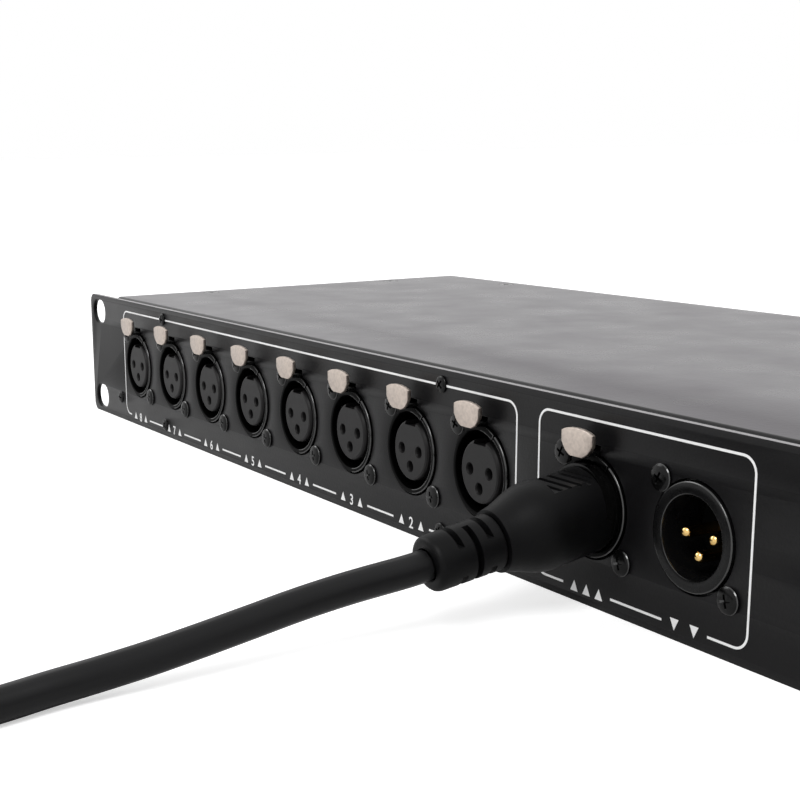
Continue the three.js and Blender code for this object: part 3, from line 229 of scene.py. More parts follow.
# Light grey for the black panel's top face: a painted highlight along its top edge
EDGE_HIGHLIGHT = material("panel_edge_highlight", (0.3, 0.29, 0.3), 0.4, grain=1400)
RING = material("collar_plastic", (0.0006, 0.0006, 0.0006), 0.35, spec=0.035, bump=0.06)
GLINT = material("glossy_rim", (0.002, 0.002, 0.002), 0.14, spec=0.9, bump=0.03)
SCREW = material("black_zinc", (0.0022, 0.0022, 0.0022), 0.2, spec=0.2, mottle=0.2, scale=700, bump=0.08)
NICKEL = material("nickel", (0.56, 0.485, 0.43), 0.34, metal=1.0, mottle=0.13, scale=1200, grain=2500,
                  bump=0.2)
GOLD = material("gold", (0.86, 0.58, 0.22), 0.11, metal=1.0, mottle=0.05, scale=600, bump=0.03)
RUBBER = material("soft_black", (0.002, 0.002, 0.0023), 0.46, spec=0.12, mottle=0.14, scale=140, grain=1500,
                  bump=0.12)
JACKET = material("cable_jacket", (0.0035, 0.0035, 0.004), 0.42, spec=0.2, mottle=0.12, scale=90, grain=2200)
LAMINATE = material("laminate", (0.02, 0.13, 0.06), 0.45, mottle=0.15, scale=500)
STEEL = material("core_steel", (0.32, 0.31, 0.3), 0.45, metal=0.8, scale=200)
ALUMINIUM = material("heatsink_aluminium", (0.5, 0.51, 0.52), 0.35, metal=1.0, mottle=0.06)
SLEEVE = material("wire_sleeve", (0.4, 0.4, 0.39), 0.5, **WIRE_LOOK)
BLUE_WIRE = material("blue_wire", (0.03, 0.08, 0.35), 0.45, **WIRE_LOOK)
BROWN_WIRE = material("brown_wire", (0.12, 0.05, 0.02), 0.45, **WIRE_LOOK)
GREEN_LENS = material("green_lens", (0.03, 0.42, 0.06), 0.15, **LENS_LOOK)
RED_LENS = material("red_lens", (0.55, 0.015, 0.01), 0.15, **LENS_LOOK)
ROCKER = material("rocker_red", (0.45, 0.015, 0.012), 0.3, mottle=0.06, scale=200, bump=0.03, coat=0.2)
GLASS = material("fuse_glass", (0.8, 0.85, 0.85), 0.05, mottle=0.02, scale=60, bump=0.0, clear=0.9)


# Forms, all made in panel millimetres
def raw(name, bm):
    bmesh.ops.recalc_face_normals(bm, faces=bm.faces)
    mesh = bpy.data.meshes.new(name)
    bm.to_mesh(mesh)
    bm.free()
    return link(bpy.data.objects.new(name, mesh))


def lathe(profile, n, x=0.0, z=0.0, closed=False):
    # Turned about the Y axis through x and z; profile is [radius, y]
    bm = bmesh.new()
    rings = []
    for r, y in profile:
        if r < 1e-6:
            rings.append([bm.verts.new((x, y, z))])
        else:
            rings.append([bm.verts.new((x + r * math.cos(2 * math.pi * k / n), y,
                                        z + r * math.sin(2 * math.pi * k / n))) for k in range(n)])
    pairs = list(zip(rings, rings[1:]))
    if closed:
        pairs.append((rings[-1], rings[0]))
    for a, b in pairs:
        for k in range(n):
            j = (k + 1) % n
            corner = [a[k % len(a)], a[j % len(a)], b[j % len(b)], b[k % len(b)]]
            unique = []
            for v in corner:
                if v not in unique:
                    unique.append(v)
            if len(unique) > 2:
                bm.faces.new(unique)
    return raw("turned", bm)


def rod(r, y0, y1, n=64, x=0.0, z=0.0):
    return lathe([(0, y0), (r, y0), (r, y1), (0, y1)], n, x, z)


def hoop(inner, outer, y0, y1):
    return lathe([(inner, y0), (outer, y0), (outer, y1), (inner, y1)], 64, closed=True)


def block(x0, x1, y0, y1, z0, z1, bevel=0.0, segments=2):
    bm = bmesh.new()
    bmesh.ops.create_cube(bm, size=1)
    for v in bm.verts:
        v.co = Vector(((x0 + x1) / 2 + v.co.x * (x1 - x0), (y0 + y1) / 2 + v.co.y * (y1 - y0),
                       (z0 + z1) / 2 + v.co.z * (z1 - z0)))
    if bevel:
        bmesh.ops.bevel(bm, geom=bm.edges[:], offset=bevel, segments=segments, profile=0.5, affect="EDGES")
    return raw("block", bm)


def bar(x, half_x, y0, y1, z, half_z, bevel=0.0):
    # A block along Y, centred on x and z
    return block(x - half_x, x + half_x, y0, y1, z - half_z, z + half_z, bevel)


def arc(cx, cy, r, a0, a1, n):
    return [(cx + r * math.cos(math.radians(a0 + (a1 - a0) * k / n)),
             cy + r * math.sin(math.radians(a0 + (a1 - a0) * k / n))) for k in range(n + 1)]


def rounded(cx, cy, w, h, r, n=8):
    right, left, top, bottom = cx + w / 2 - r, cx - w / 2 + r, cy + h / 2 - r, cy - h / 2 + r
    return (arc(right, top, r, 0, 90, n) + arc(left, top, r, 90, 180, n)
            + arc(left, bottom, r, 180, 270, n) + arc(right, bottom, r, 270, 360, n))


def circle(cx, cy, r, n):
    turns = [2 * math.pi * k / n for k in range(n)]
    return [(cx + r * math.cos(a), cy + r * math.sin(a)) for a in turns]


def quad(a, b, c, n):
    # Points after a on a curve from a to c that leans towards b
    steps = [k / n for k in range(1, n + 1)]
    return [tuple((1 - t) ** 2 * a[i] + 2 * t * (1 - t) * b[i] + t * t * c[i] for i in (0, 1)) for t in steps]


def evaluated(o):
    bpy.context.view_layer.update()
    return bpy.data.meshes.new_from_object(o.evaluated_get(bpy.context.evaluated_depsgraph_get()))


def mesh_of(curve):
    # The curve's mesh, in place of the curve
    mesh = evaluated(curve)
    data = curve.data
    bpy.data.objects.remove(curve)
    bpy.data.curves.remove(data)
    return mesh


def plate(outlines, y0, y1, bevel=0.0, axis="Y"):
    # Outlines drawn as x and z (axis Y) or y and z (axis X), the first the outer one
    data = bpy.data.curves.new("outline", "CURVE")
    data.dimensions = "2D"
    data.fill_mode = "BOTH"
    data.extrude = (y1 - y0) / 2 - bevel
    data.bevel_depth = bevel
    data.bevel_resolution = 1
    data.offset = -bevel
    for outline in outlines:
        spline = data.splines.new("POLY")
        spline.points.add(len(outline) - 1)
        for p, (a, b) in zip(spline.points, outline):
            p.co = (a, b, 0, 1)
        spline.use_cyclic_u = True
    mesh = mesh_of(link(bpy.data.objects.new("outline", data)))
    middle = (y0 + y1) / 2
    if axis == "Y":
        mesh.transform(Matrix(((1, 0, 0, 0), (0, 0, -1, middle), (0, 1, 0, 0), (0, 0, 0, 1))))
    else:
        mesh.transform(Matrix(((0, 0, 1, middle), (1, 0, 0, 0), (0, 1, 0, 0), (0, 0, 0, 1))))
    bm = bmesh.new()
    bm.from_mesh(mesh)
    bpy.data.meshes.remove(mesh)
    bmesh.ops.remove_doubles(bm, verts=bm.verts, dist=1e-4)
    return raw("plate", bm)


def boolean(target, others, operation):
    for other in others:
        step = target.modifiers.new("step", "BOOLEAN")
        step.object = other
        step.operation = operation
        step.solver = "EXACT"
    mesh = evaluated(target)
    target.modifiers.clear()
    old = target.data
    target.data = mesh
    bpy.data.meshes.remove(old)
    for other in others:
        data = other.data
        bpy.data.objects.remove(other)
        bpy.data.meshes.remove(data)
    return target


def cut(target, others):
    return boolean(target, others, "DIFFERENCE")


def weld(target, others):
    return boolean(target, others, "UNION")


def join(objects):
    # Several working objects as one mesh
    bm = bmesh.new()
    for o in objects:
        mesh = o.data
        mesh.transform(o.matrix_world)
        bm.from_mesh(mesh)
        bpy.data.objects.remove(o)
        bpy.data.meshes.remove(mesh)
    mesh = bpy.data.meshes.new("joined")
    bm.to_mesh(mesh)
    bm.free()
    return link(bpy.data.objects.new("joined", mesh))


def turned(degrees, axis):
    return Matrix.Rotation(math.radians(degrees), 4, axis)


def placed(o, place, turn=Matrix.Identity(4)):
    # Turned first, then moved
    o.data.transform(Matrix.Translation(place) @ turn)
    return o


def upright(o, x, y):
    # From turned about Y to turned about Z
    return placed(o, (x, y, 0), turned(90, "X"))


def lengthwise(o, y=0.0, z=0.0, x=0.0):
    # From turned about Y to turned about X
    return placed(o, (x, y, z), turned(-90, "Z"))


def copy_of(o):
    # Another object on the same mesh
    return link(bpy.data.objects.new("copy", o.data))


def second_look(o, chosen):
    # The faces that get the second of the two materials
    for face in o.data.polygons:
        if chosen(face.center, face.normal):
            face.material_index = 1


def slanted(normal):
    return 0.2 < -normal.y < 0.97


def finish(o, name, look, nodes=(), body="splitter", angle=32, at=None):
    # From panel millimetres to the row frame, smooth where flat enough, with its material and body
    mesh = o.data
    if not mesh.get("done"):
        mesh.transform(TO_ROW)
        mesh["done"] = True
        chosen = [face.material_index for face in mesh.polygons]
        mesh.materials.clear()
        for one in (look if isinstance(look, list) else [look]):
            mesh.materials.append(one)
        mesh.polygons.foreach_set("material_index", chosen)
        mesh.polygons.foreach_set("use_smooth", [True] * len(mesh.polygons))
        mesh.set_sharp_from_angle(angle=math.radians(angle))
    o.name = name
    if at:
        o.location.x = at / PER_METRE
    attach(o, body)
    if nodes:
        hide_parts(*nodes)


# Front panel with its openings
PANEL_CORNER = 3.2
RACK_SLOT_IN, RACK_SLOT_UP = 8.75, 15.875
RACK_SLOT_WIDE, RACK_SLOT_HIGH, RACK_SLOT_ROUND = 12, 8.6, 4.29
OPENING = 11.45
NECK, NECK_TOP = 2.5, 35.0
LAMP_APART, LAMP_HOLE = 4.5, 2.8
LAMP_SHARE = 0.39
LAMPS_X = INPUT + LAMP_SHARE * (SWITCH_X - INPUT)
SWITCH_HALF_WIDE, SWITCH_HALF_HIGH = 7, 9.7


def front_panel():
    holes = []
    for x in (RACK_SLOT_IN, PANEL_WIDE - RACK_SLOT_IN):
        for up in (-RACK_SLOT_UP, RACK_SLOT_UP):
            holes.append(rounded(x, MIDDLE + up, RACK_SLOT_WIDE, RACK_SLOT_HIGH, RACK_SLOT_ROUND, 14))
    meet = math.degrees(math.acos(NECK / OPENING))
    for _, x in SOCKETS:
        below = arc(x, RISE, OPENING, 180 - meet, 360 + meet, 60)
        holes.append(below + [(x + NECK, NECK_TOP), (x - NECK, NECK_TOP)])
    holes.append(circle(INPUT, RISE, OPENING, 72))
    for side in (-1, 1):
        holes.append(circle(LAMPS_X + side * LAMP_APART, MIDDLE, LAMP_HOLE, 32))
    corners = ((-1, -1), (1, -1), (1, 1), (-1, 1))
    holes.append([(SWITCH_X + a * SWITCH_HALF_WIDE, MIDDLE + b * SWITCH_HALF_HIGH) for a, b in corners])
    outer = rounded(PANEL_WIDE / 2, MIDDLE, PANEL_WIDE, PANEL_HIGH, PANEL_CORNER, 10)
    panel = plate([outer] + holes, 0, PANEL_THICK, 0.12)
    # The top face of the panel takes the light grey, a painted highlight along its top edge.
    second_look(panel, lambda centre, normal: normal.z > 0.7 and centre.z > PANEL_HIGH - 0.8)
    finish(panel, "panel_plate", [PANEL, EDGE_HIGHLIGHT], ["front_panel"], angle=40)


front_panel()

# White printing: two rounded frames, broken at the place of each label, with a number or arrows there
INK_FRONT, INK_BACK = -0.045, 0.02
LINE_WIDE, LINE_ROUND = 0.52, 3.3
OUTPUTS_FRAME = (33.4, 272.8, 3.1, 40)
END_FRAME = (281.1, 345.8, 3.3, 40.1)
DIGIT_FOOT, DIGIT_SIZE, DIGIT_SWELL = 1.75, 4.1, 0.05
ARROW_HALF, ARROW_FOOT, ARROW_TIP = 1.25, 1.15, 1.25
OUTPUT_GAP, THROUGH_GAP, INPUT_GAP = (-8.6, 8.4), (-8.6, 7.2), (-7.8, 5.2)
OUTPUT_ARROWS, THROUGH_ARROWS, INPUT_ARROWS = (-4.6, 4.6), (-4.8, -0.7, 3.4), (-4.1, 1.5)
OUTPUT_ARROW_UP, END_ARROW_UP = 3.2, 3.3


def ribbon(points):
    bm = bmesh.new()
    sections = []
    for i, p in enumerate(points):
        before = Vector(points[max(i - 1, 0)])
        after = Vector(points[min(i + 1, len(points) - 1)])
        d = (after - before).normalized()
        across = Vector((-d.y, d.x)) * LINE_WIDE / 2
        sections.append([bm.verts.new((p[0] + s * across.x, y, p[1] + s * across.y))
                         for s, y in ((1, INK_FRONT), (-1, INK_FRONT), (-1, INK_BACK), (1, INK_BACK))])
    for a, b in zip(sections, sections[1:]):
        for k in range(4):
            bm.faces.new([a[k], a[(k + 1) % 4], b[(k + 1) % 4], b[k]])
    bm.faces.new(sections[0])
    bm.faces.new(sections[-1][::-1])
    return raw("line", bm)


def frame_line(x0, x1, z0, z1, gaps):
    r = LINE_ROUND
    path = [(gaps[-1][1], z0)] + arc(x1 - r, z0 + r, r, -90, 0, 8) + arc(x1 - r, z1 - r, r, 0, 90, 8)
    path += arc(x0 + r, z1 - r, r, 90, 180, 8) + arc(x0 + r, z0 + r, r, 180, 270, 8) + [(gaps[0][0], z0)]
    lines = [ribbon(path)]
    for (_, a), (b, _) in zip(gaps, gaps[1:]):
        lines.append(ribbon([(a, z0), (b, z0)]))
    return lines


def digit(text, x):
    data = bpy.data.curves.new("number", "FONT")
    data.body = text
    data.size = DIGIT_SIZE
    data.align_x = "CENTER"
    data.extrude = (INK_BACK - INK_FRONT) / 2
    data.offset = DIGIT_SWELL
    mesh = mesh_of(link(bpy.data.objects.new("number", data)))
    face = (INK_BACK + INK_FRONT) / 2
    mesh.transform(Matrix(((1, 0, 0, x), (0, 0, -1, face), (0, 1, 0, DIGIT_FOOT), (0, 0, 0, 1))))
    return link(bpy.data.objects.new("number", mesh))


def arrow(x, z, upward=True):
    # A plain triangle
    s = 1 if upward else -1
    foot, tip = z - s * ARROW_FOOT, z + s * ARROW_TIP
    return plate([[(x - ARROW_HALF, foot), (x + ARROW_HALF, foot), (x, tip)][::s]], INK_FRONT, INK_BACK)


def gap(x, reach):
    return x + reach[0], x + reach[1]


def printing():
    parts = frame_line(*OUTPUTS_FRAME, [gap(x, OUTPUT_GAP) for _, x in SOCKETS[:OUTPUTS]])
    parts += frame_line(*END_FRAME, [gap(THROUGH, THROUGH_GAP), gap(INPUT, INPUT_GAP)])
    for i, (_, x) in enumerate(SOCKETS[:OUTPUTS]):
        parts.append(digit(str(OUTPUTS - i), x))
        parts += [arrow(x + dx, OUTPUT_ARROW_UP) for dx in OUTPUT_ARROWS]
    parts += [arrow(THROUGH + dx, END_ARROW_UP) for dx in THROUGH_ARROWS]
    parts += [arrow(INPUT + dx, END_ARROW_UP, upward=False) for dx in INPUT_ARROWS]
    finish(join(parts), "panel_print", INK, angle=60)


printing()


# Screws with a domed head and a cross recess
DOME_SPAN, DOME_STEPS, DOME_POWER = 75, 6, 0.9
DOME_SHARE, BRIM_SHARE, RECESS_SHARE = 0.985, 0.28, 0.25
RECESS_OUT, RECESS_MOUTH, RECESS_FLOOR = 0.5, (3.4, 0.68), (1.9, 0.42)


def cross_cuts(low, high, spin, x=0.0, z=0.0):
    # Two crossed wedges along Y; low and high are [y, length, thickness] at their ends
    cuts = []
    for a in (0, 90):
        bm = bmesh.new()
        bmesh.ops.create_cube(bm, size=1)
        for v in bm.verts:
            y, long, thick = high if v.co.y > 0 else low
            v.co = Vector((v.co.x * long, y, v.co.z * thick))
        bmesh.ops.rotate(bm, verts=bm.verts, matrix=Matrix.Rotation(math.radians(a + spin), 3, "Y"))
        bmesh.ops.translate(bm, verts=bm.verts, vec=(x, 0, z))
        cuts.append(raw("cross", bm))
    return cuts


def pan_head(x, z, radius, spin, height=1.05, seat=-0.1):
    dome = [(0, seat - height)]
    for k in range(1, DOME_STEPS + 1):
        a = math.radians(DOME_SPAN * k / DOME_STEPS)
        rise = BRIM_SHARE + (1 - BRIM_SHARE) * math.cos(a) ** DOME_POWER
        dome.append((radius * math.sin(a) * DOME_SHARE, seat - height * rise))
    dome += [(radius, seat - 0.3 * height), (radius, seat), (0, seat)]
    mouth, floor = (seat - height - RECESS_OUT, *RECESS_MOUTH), (seat - height * RECESS_SHARE, *RECESS_FLOOR)
    return cut(lathe(dome, 32, x, z), cross_cuts(mouth, floor, spin, x, z))


# Sockets: a flange and a body behind the panel, and a collar that stands proud of it
FLANGE, FLANGE_FRONT, FLANGE_BACK = (0, 22.35, 26, 29.3, 2.5, 6), 1.6, 3.8
BODY, BODY_FRONT, BODY_BACK = (0, 22.95, 23.4, 28.1, 2, 6), 3.0, 20
COLLAR, COLLAR_FOOT, COLLAR_ROUND, LIP_ROUND, PROUD = 11.0, 2.0, 0.3, 0.25, 0.5
BORE, BORE_DEEP, REAR_HOLE = 9.75, 18, 8.0
INPUT_BORE, INPUT_BORE_DEEP, INPUT_REAR_HOLE = 8.4, 12.0, 7.2
CAP_INNER, CAP_OUTER, CAP_FRONT, CAP_BACK = 9.85, 11.3, -0.8, 0.6
CAP_SPAN = (58, 122)
SEAT_R, SEAT_FRONT, SEAT_BACK = 10.8, 1.8, 2.6
ROOM_HALF, ROOM_FRONT, ROOM_UP, ROOM_TOP = 3.8, 1.4, 7, 38
CONTACTS = [(-3.9, 0.1), (3.9, 0.1), (0, -4.1)]
LEG_HALF, LEG_FOOT, LEG_OVER = 0.45, 8.8, 0.9
INSERT_R, NOTCH, NOTCH_DEEP, NOTCH_UP = 7.7, 2.4, 4.0, 6.3
SHIELD_FRONT, SHIELD_BACK, SHIELD_ROUND = -4.4, -3.2, 0.28
LEVER_HALF, LEVER_LOW, LEVER_HIGH = 2.1, 32.9, 33.9
GUIDE_R, GUIDE_HALF, GUIDE_Y = 0.8, 5.2, 12.6
SOCKET_HEAD, SOCKET_SCREWS = 2.85, ((-9.4, 31.9, 25), (10.4, 11.9, -15))
CLEAR_OF = 1


def collar_profile(bore, depth):
    # Outer wall, its rounded front, then the smaller round at the mouth of the bore
    points = [(COLLAR, COLLAR_FOOT), (COLLAR, COLLAR_ROUND - PROUD)]
    for a in (30, 60, 90):
        across, out = 1 - math.cos(math.radians(a)), 1 - math.sin(math.radians(a))
        points.append((COLLAR - COLLAR_ROUND * across, COLLAR_ROUND * out - PROUD))
    for a in (0, 45, 90):
        across, out = 1 - math.sin(math.radians(a)), 1 - math.cos(math.radians(a))
        points.append((bore + LIP_ROUND * across, LIP_ROUND * out - PROUD))
    return points + [(bore, depth), (COLLAR, depth)]


def housing(bore, depth, female):
    whole = plate([rounded(*FLANGE)], FLANGE_FRONT, FLANGE_BACK, 0.2)
    whole = weld(whole, [plate([rounded(*BODY)], BODY_FRONT, BODY_BACK, 0.3)])
    whole = weld(whole, [rod(SEAT_R, SEAT_FRONT, SEAT_BACK, 64, 0, RISE)])
    whole = cut(whole, [rod(bore, -2, depth, 64, 0, RISE)])
    whole = weld(whole, [lathe(collar_profile(bore, 4.0), 64, 0, RISE, closed=True)])
    if female:
        # Raised cap over the catch, with room for the lever
        low, high = CAP_SPAN
        outline = arc(0, RISE, CAP_OUTER, low, high, 16) + arc(0, RISE, CAP_INNER, high, low, 16)
        cap = plate([outline], CAP_FRONT, CAP_BACK, 0.18)
        cap = cut(cap, [block(-NOTCH, NOTCH, -2, 2, LEVER_LOW - 0.15, 34)])
        whole = weld(whole, [cap])
        room = block(-ROOM_HALF, ROOM_HALF, ROOM_FRONT, BORE_DEEP, RISE + ROOM_UP, ROOM_TOP)
        return cut(whole, [room, rod(REAR_HOLE, 16, BODY_BACK + CLEAR_OF, 48, 0, RISE)])
    return cut(whole, [rod(INPUT_REAR_HOLE, 8, BODY_BACK + CLEAR_OF, 48, 0, RISE)])


def leg(cx, cz, front, back):
    # Solder leg from a contact down to the board
    return block(cx - LEG_HALF, cx + LEG_HALF, front, back, LEG_FOOT, RISE + cz + LEG_OVER)


def contact_insert():
    profile = [(0, -0.4), (7.0, -0.4), (7.45, -0.2), (INSERT_R, 0.3), (INSERT_R, 21.5), (0, 21.5)]
    hole = [(0, -0.9), (1.75, -0.9), (1.35, 0.05), (1.35, 13.6), (0, 13.6)]
    made = lathe(profile, 64, 0, RISE)
    made = cut(made, [lathe(hole, 24, cx, RISE + cz) for cx, cz in CONTACTS])
    made = cut(made, [block(-NOTCH, NOTCH, -1.2, NOTCH_DEEP, RISE + NOTCH_UP, RISE + 8.6)])
    return join([made] + [leg(cx, cz, 21.3, 22.2) for cx, cz in CONTACTS])


def shield():
    # Outline of the push tab: a rounded top, straight sides and a narrow toe
    half, toe, low, mid, shoulder, high = 5.0, 1.9, 32.7, 35.6, 37.8, 38.8
    waist, crest = half * 0.8, half * 0.62
    pts = [(-toe, low), (toe, low)]
    pts += quad((toe, low), (waist, low + 0.6), (half, mid), 8)
    pts += [(half, shoulder)]
    pts += quad((half, shoulder), (crest, high), (0, high), 10)
    pts += quad((0, high), (-crest, high), (-half, shoulder), 10)
    pts += [(-half, mid)]
    pts += quad((-half, mid), (-waist, low + 0.6), (-toe, low), 8)[:-1]
    return pts


def tab_lever():
    # From the shield through the slot to the catch, with the pin that it slides on
    made = block(-LEVER_HALF, LEVER_HALF, SHIELD_BACK - 0.1, 15, LEVER_LOW, LEVER_HIGH, 0.1)
    catch = [(2.4, 33.2), (2.5, 32.9), (3.1, 30.6), (4.0, 30.6), (4.0, 33.2)]
    made = weld(made, [plate([catch], -2.0, 2.0, axis="X")])
    guide = rod(GUIDE_R, -GUIDE_HALF, GUIDE_HALF, 16)
    middle = (LEVER_LOW + LEVER_HIGH) / 2
    return weld(made, [placed(guide, (0, GUIDE_Y, middle), turned(90, "Z"))])


female = housing(BORE, BORE_DEEP, True)
insert = contact_insert()
tab = plate([shield()], SHIELD_FRONT, SHIELD_BACK, SHIELD_ROUND)
lever = tab_lever()
heads = join([pan_head(x, z, SOCKET_HEAD, spin) for x, z, spin in SOCKET_SCREWS])
second_look(heads, lambda centre, normal: 0.15 < -normal.y < 0.8 and centre.y < -0.2)
# Only the slanted front faces on the right half of each collar and cap get the glossy rim: a painted
# highlight on the side the key light falls on, with the left half kept matte.
second_look(female, lambda centre, normal: centre.x > 1 and centre.y < 0 and slanted(normal))

for i, (name, x) in enumerate(SOCKETS):
    own = [o if i == 0 else copy_of(o) for o in (female, insert, tab, heads, lever)]
    shell, face, front, screws, arm = own
    finish(shell, f"{name}_shell", [RING, GLINT], [f"{name}_housing"], at=x)
    finish(face, f"{name}_face", INSERT, [f"{name}_insert"], angle=15, at=x)
    finish(front, f"{name}_shield", NICKEL, [f"{name}_push_tab"], f"{name}_tab", at=x)
    finish(screws, f"{name}_screws", [SCREW, GLINT], at=x)
    finish(arm, f"{name}_lever", SCREW, body=f"{name}_tab", at=x)


def input_socket():
    male = housing(INPUT_BORE, INPUT_BORE_DEEP, False)
    second_look(male, lambda centre, normal: centre.y < 0 and slanted(normal))
    finish(male, "input_shell", [PLASTIC, GLINT], ["input_housing"], at=INPUT)
    base = lathe([(0, 9.8), (8.2, 9.8), (8.2, 11.9), (6.9, 11.9), (6.9, 20.1), (0, 20.1)], 64, 0, RISE)
    base = cut(base, [rod(1.4, 9, 21, 24, cx, RISE + cz) for cx, cz in CONTACTS])
    finish(base, "input_base", DARK, ["input_insulator"], at=INPUT)
    radius, tip = 1.2, 0.95
    profile = [(0, tip)]
    for a in (20, 40, 60, 78):
        profile.append((radius * math.sin(math.radians(a)), tip + radius * (1 - math.cos(math.radians(a)))))
    profile += [(radius, 2.2), (radius, 20.2), (1.9, 20.2), (1.9, 21.0), (0, 21.0)]
    for i, (cx, cz) in enumerate(CONTACTS):
        pin = join([lathe(profile, 32, cx, RISE + cz), leg(cx, cz, 20.8, 21.7)])
        finish(pin, f"input_contact_{i + 1}", GOLD, [f"input_pin_{i + 1}"], at=INPUT)
    finish(copy_of(heads), "input_screws", [SCREW, GLINT], at=INPUT)


input_socket()

# Panel and case screws
CASE_HEAD, CASE_HEAD_HIGH = 2.1, 0.8
CASE_SCREW_SHARES = (0.145, 0.502, 0.855)
UPPER_SCREWS, LOWER_SCREWS = 40.2, 4
SIDE_SCREW_IN, SIDE_SCREW_UP = 5, 8.1


def case_head(x, z, spin):
    return pan_head(x, z, CASE_HEAD, spin, CASE_HEAD_HIGH)


case_heads = []
for k, share in enumerate(CASE_SCREW_SHARES):
    case_heads.append(case_head(share * PANEL_WIDE, UPPER_SCREWS, 10 + 31 * k))
    case_heads.append(case_head(share * PANEL_WIDE, LOWER_SCREWS, 40 - 17 * k))
for k, x in enumerate([LEFT + SIDE_SCREW_IN, RIGHT - SIDE_SCREW_IN]):
    case_heads.append(case_head(x, SIDE_SCREW_UP, 5 + 20 * k))
finish(join(case_heads), "panel_screws", SCREW)

# Cover: a folded sheet with countersunk screws
COVER_FRONT, BEND, BEND_Y = 1.6, 1.4, 3.0
BEND_Z = COVER_TOP - BEND
COVER_UNDER, COVER_SKIRT = COVER_TOP - SHEET, 37.2
COVER_SCREWS = [(x, y) for y in (36.7, 114) for x in (LEFT + 6, RIGHT - 6)]
COVER_SCREWS += [(LEFT + 46.9, DEPTH - 6), (RIGHT - 46.9, DEPTH - 6)]


def top_cover():
    profile = [(DEPTH, COVER_UNDER), (DEPTH, COVER_TOP)] + arc(BEND_Y, BEND_Z, BEND, 90, 180, 10)
    profile += [(COVER_FRONT, COVER_SKIRT), (COVER_FRONT + SHEET, COVER_SKIRT)]
    profile += arc(BEND_Y, BEND_Z, BEND - SHEET, 180, 90, 4)
    sink = [(0, 42), (1.7, 42), (1.7, 43), (3.05, 44.22), (3.05, 45), (0, 45)]
    sheet = plate([profile], LEFT, RIGHT, 0.1, axis="X")
    sheet = cut(sheet, [upright(lathe(sink, 40), x, y) for x, y in COVER_SCREWS])
    # The front fold and skirt of the cover take the darker panel paint: painted shade for the gap between
    # cover and panel.
    second_look(sheet, lambda centre, normal: centre.y < BEND_Y + 0.1)
    finish(sheet, "cover_sheet", [COVER, PANEL], ["top_cover"], angle=25)
    head = [(0, 42.4), (1.3, 42.4), (1.3, 43.0), (2.72, 44.0), (2.8, 44.1), (2.7, 44.17), (0, 44.19)]
    flush = []
    for k, (x, y) in enumerate(COVER_SCREWS):
        cuts = cross_cuts((43.1, 1.6, 0.4), (44.6, 3.0, 0.62), 23 * k)
        flush.append(upright(cut(lathe(head, 32), cuts), x, y))
    finish(join(flush), "cover_screws", SCREW)


top_cover()

# Tray: floor, lips, rear wall with vents and the flanges the cover rests on
TRAY_TOP, TRAY_LIP = 42.9, 6.0
WALL_STEP_Y, WALL_STEP_Z = 5.4, 37.1
REAR_FLANGE, SIDE_FLANGE, FRONT_FLANGE = 11, 11, 7
VENTS, VENT_PITCH, VENT_IN = 8, 12, 48.7
VENT_WIDE, VENT_HIGH, VENT_ROUND = 3, 18, 1.49
POST_R, POST_FOOT, POST_TOP = 2.6, 1.1, 6.9
POSTS = [(x, y) for x in (38.4, 200.2, 362) for y in (11, 79)]
POSTS += [(x, y) for x in (380, 440) for y in (51, 106.2)]


def chassis_tray():
    inside, below = DEPTH - SHEET, TRAY_TOP - SHEET
    fold = [(COVER_FRONT, 0), (DEPTH, 0), (DEPTH, TRAY_TOP), (DEPTH - REAR_FLANGE, TRAY_TOP),
            (DEPTH - REAR_FLANGE, below), (inside, below), (inside, SHEET), (COVER_FRONT + SHEET, SHEET),
            (COVER_FRONT + SHEET, TRAY_LIP), (COVER_FRONT, TRAY_LIP)]
    wall = [(COVER_FRONT, 0), (DEPTH, 0), (DEPTH, TRAY_TOP), (WALL_STEP_Y, TRAY_TOP),
            (WALL_STEP_Y, WALL_STEP_Z), (COVER_FRONT, WALL_STEP_Z)]
    flanges = ((SIDE_FLANGE, WALL_STEP_Y, DEPTH - 0.1, below, TRAY_TOP),
               (FRONT_FLANGE, COVER_FRONT, COVER_FRONT + SHEET, 0.2, WALL_STEP_Z))
    tray = plate([fold], LEFT, RIGHT, 0.12, axis="X")
    parts = []
    for edge, s in ((LEFT, 1), (RIGHT, -1)):
        parts.append(plate([wall], min(edge, edge + s * SHEET), max(edge, edge + s * SHEET), 0.1, axis="X"))
        for reach, y0, y1, z0, z1 in flanges:
            inner_x, outer_x = edge + s * reach, edge + s * 0.1
            parts.append(block(min(inner_x, outer_x), max(inner_x, outer_x), y0, y1, z0, z1, 0.1))
    tray = weld(tray, parts)
    cuts = [block(396.3, 423.7, DEPTH - 5, DEPTH + 3, 6.2, 37.8)]
    for i in range(VENTS):
        vent = rounded(LEFT + VENT_IN + VENT_PITCH * i, MIDDLE, VENT_WIDE, VENT_HIGH, VENT_ROUND, 8)
        cuts.append(plate([vent], DEPTH - 5, DEPTH + 3))
    tray = cut(tray, cuts)
    posts = [upright(rod(POST_R, POST_FOOT, POST_TOP, 6), x, y) for x, y in POSTS]
    finish(join([tray] + posts), "tray_sheet", TRAY, ["chassis_tray"], angle=25)


chassis_tray()

# Plug in the through output. Its grip and boot hang by DROOP, its nose sits square in the socket.
PLUG = (THROUGH, 0, RISE)
PLUG_OUTLINE = [
    (0, -2.0), (9.1, -2.0), (9.35, -2.3), (9.48, -8), (9.6, -13.8), (9.5, -15.6), (9.1, -17.4), (8.5, -19.2),
    (7.8, -21), (7.2, -22.8), (6.9, -24.2), (6.7, -25.1), (0, -25.1),
]
GROOVES, GROOVE_PITCH, GROOVE_WIDE, GROOVE_TAPER = 4, 2.2, 1.0, 0.25
SLIT_HALF, SLIT_REACH = 0.72, 7.4
SLIT_CORE, SLIT_SHARES = 3.9, (0.2, 0.42, 0.64)
CORD_CLEAR = 0.05


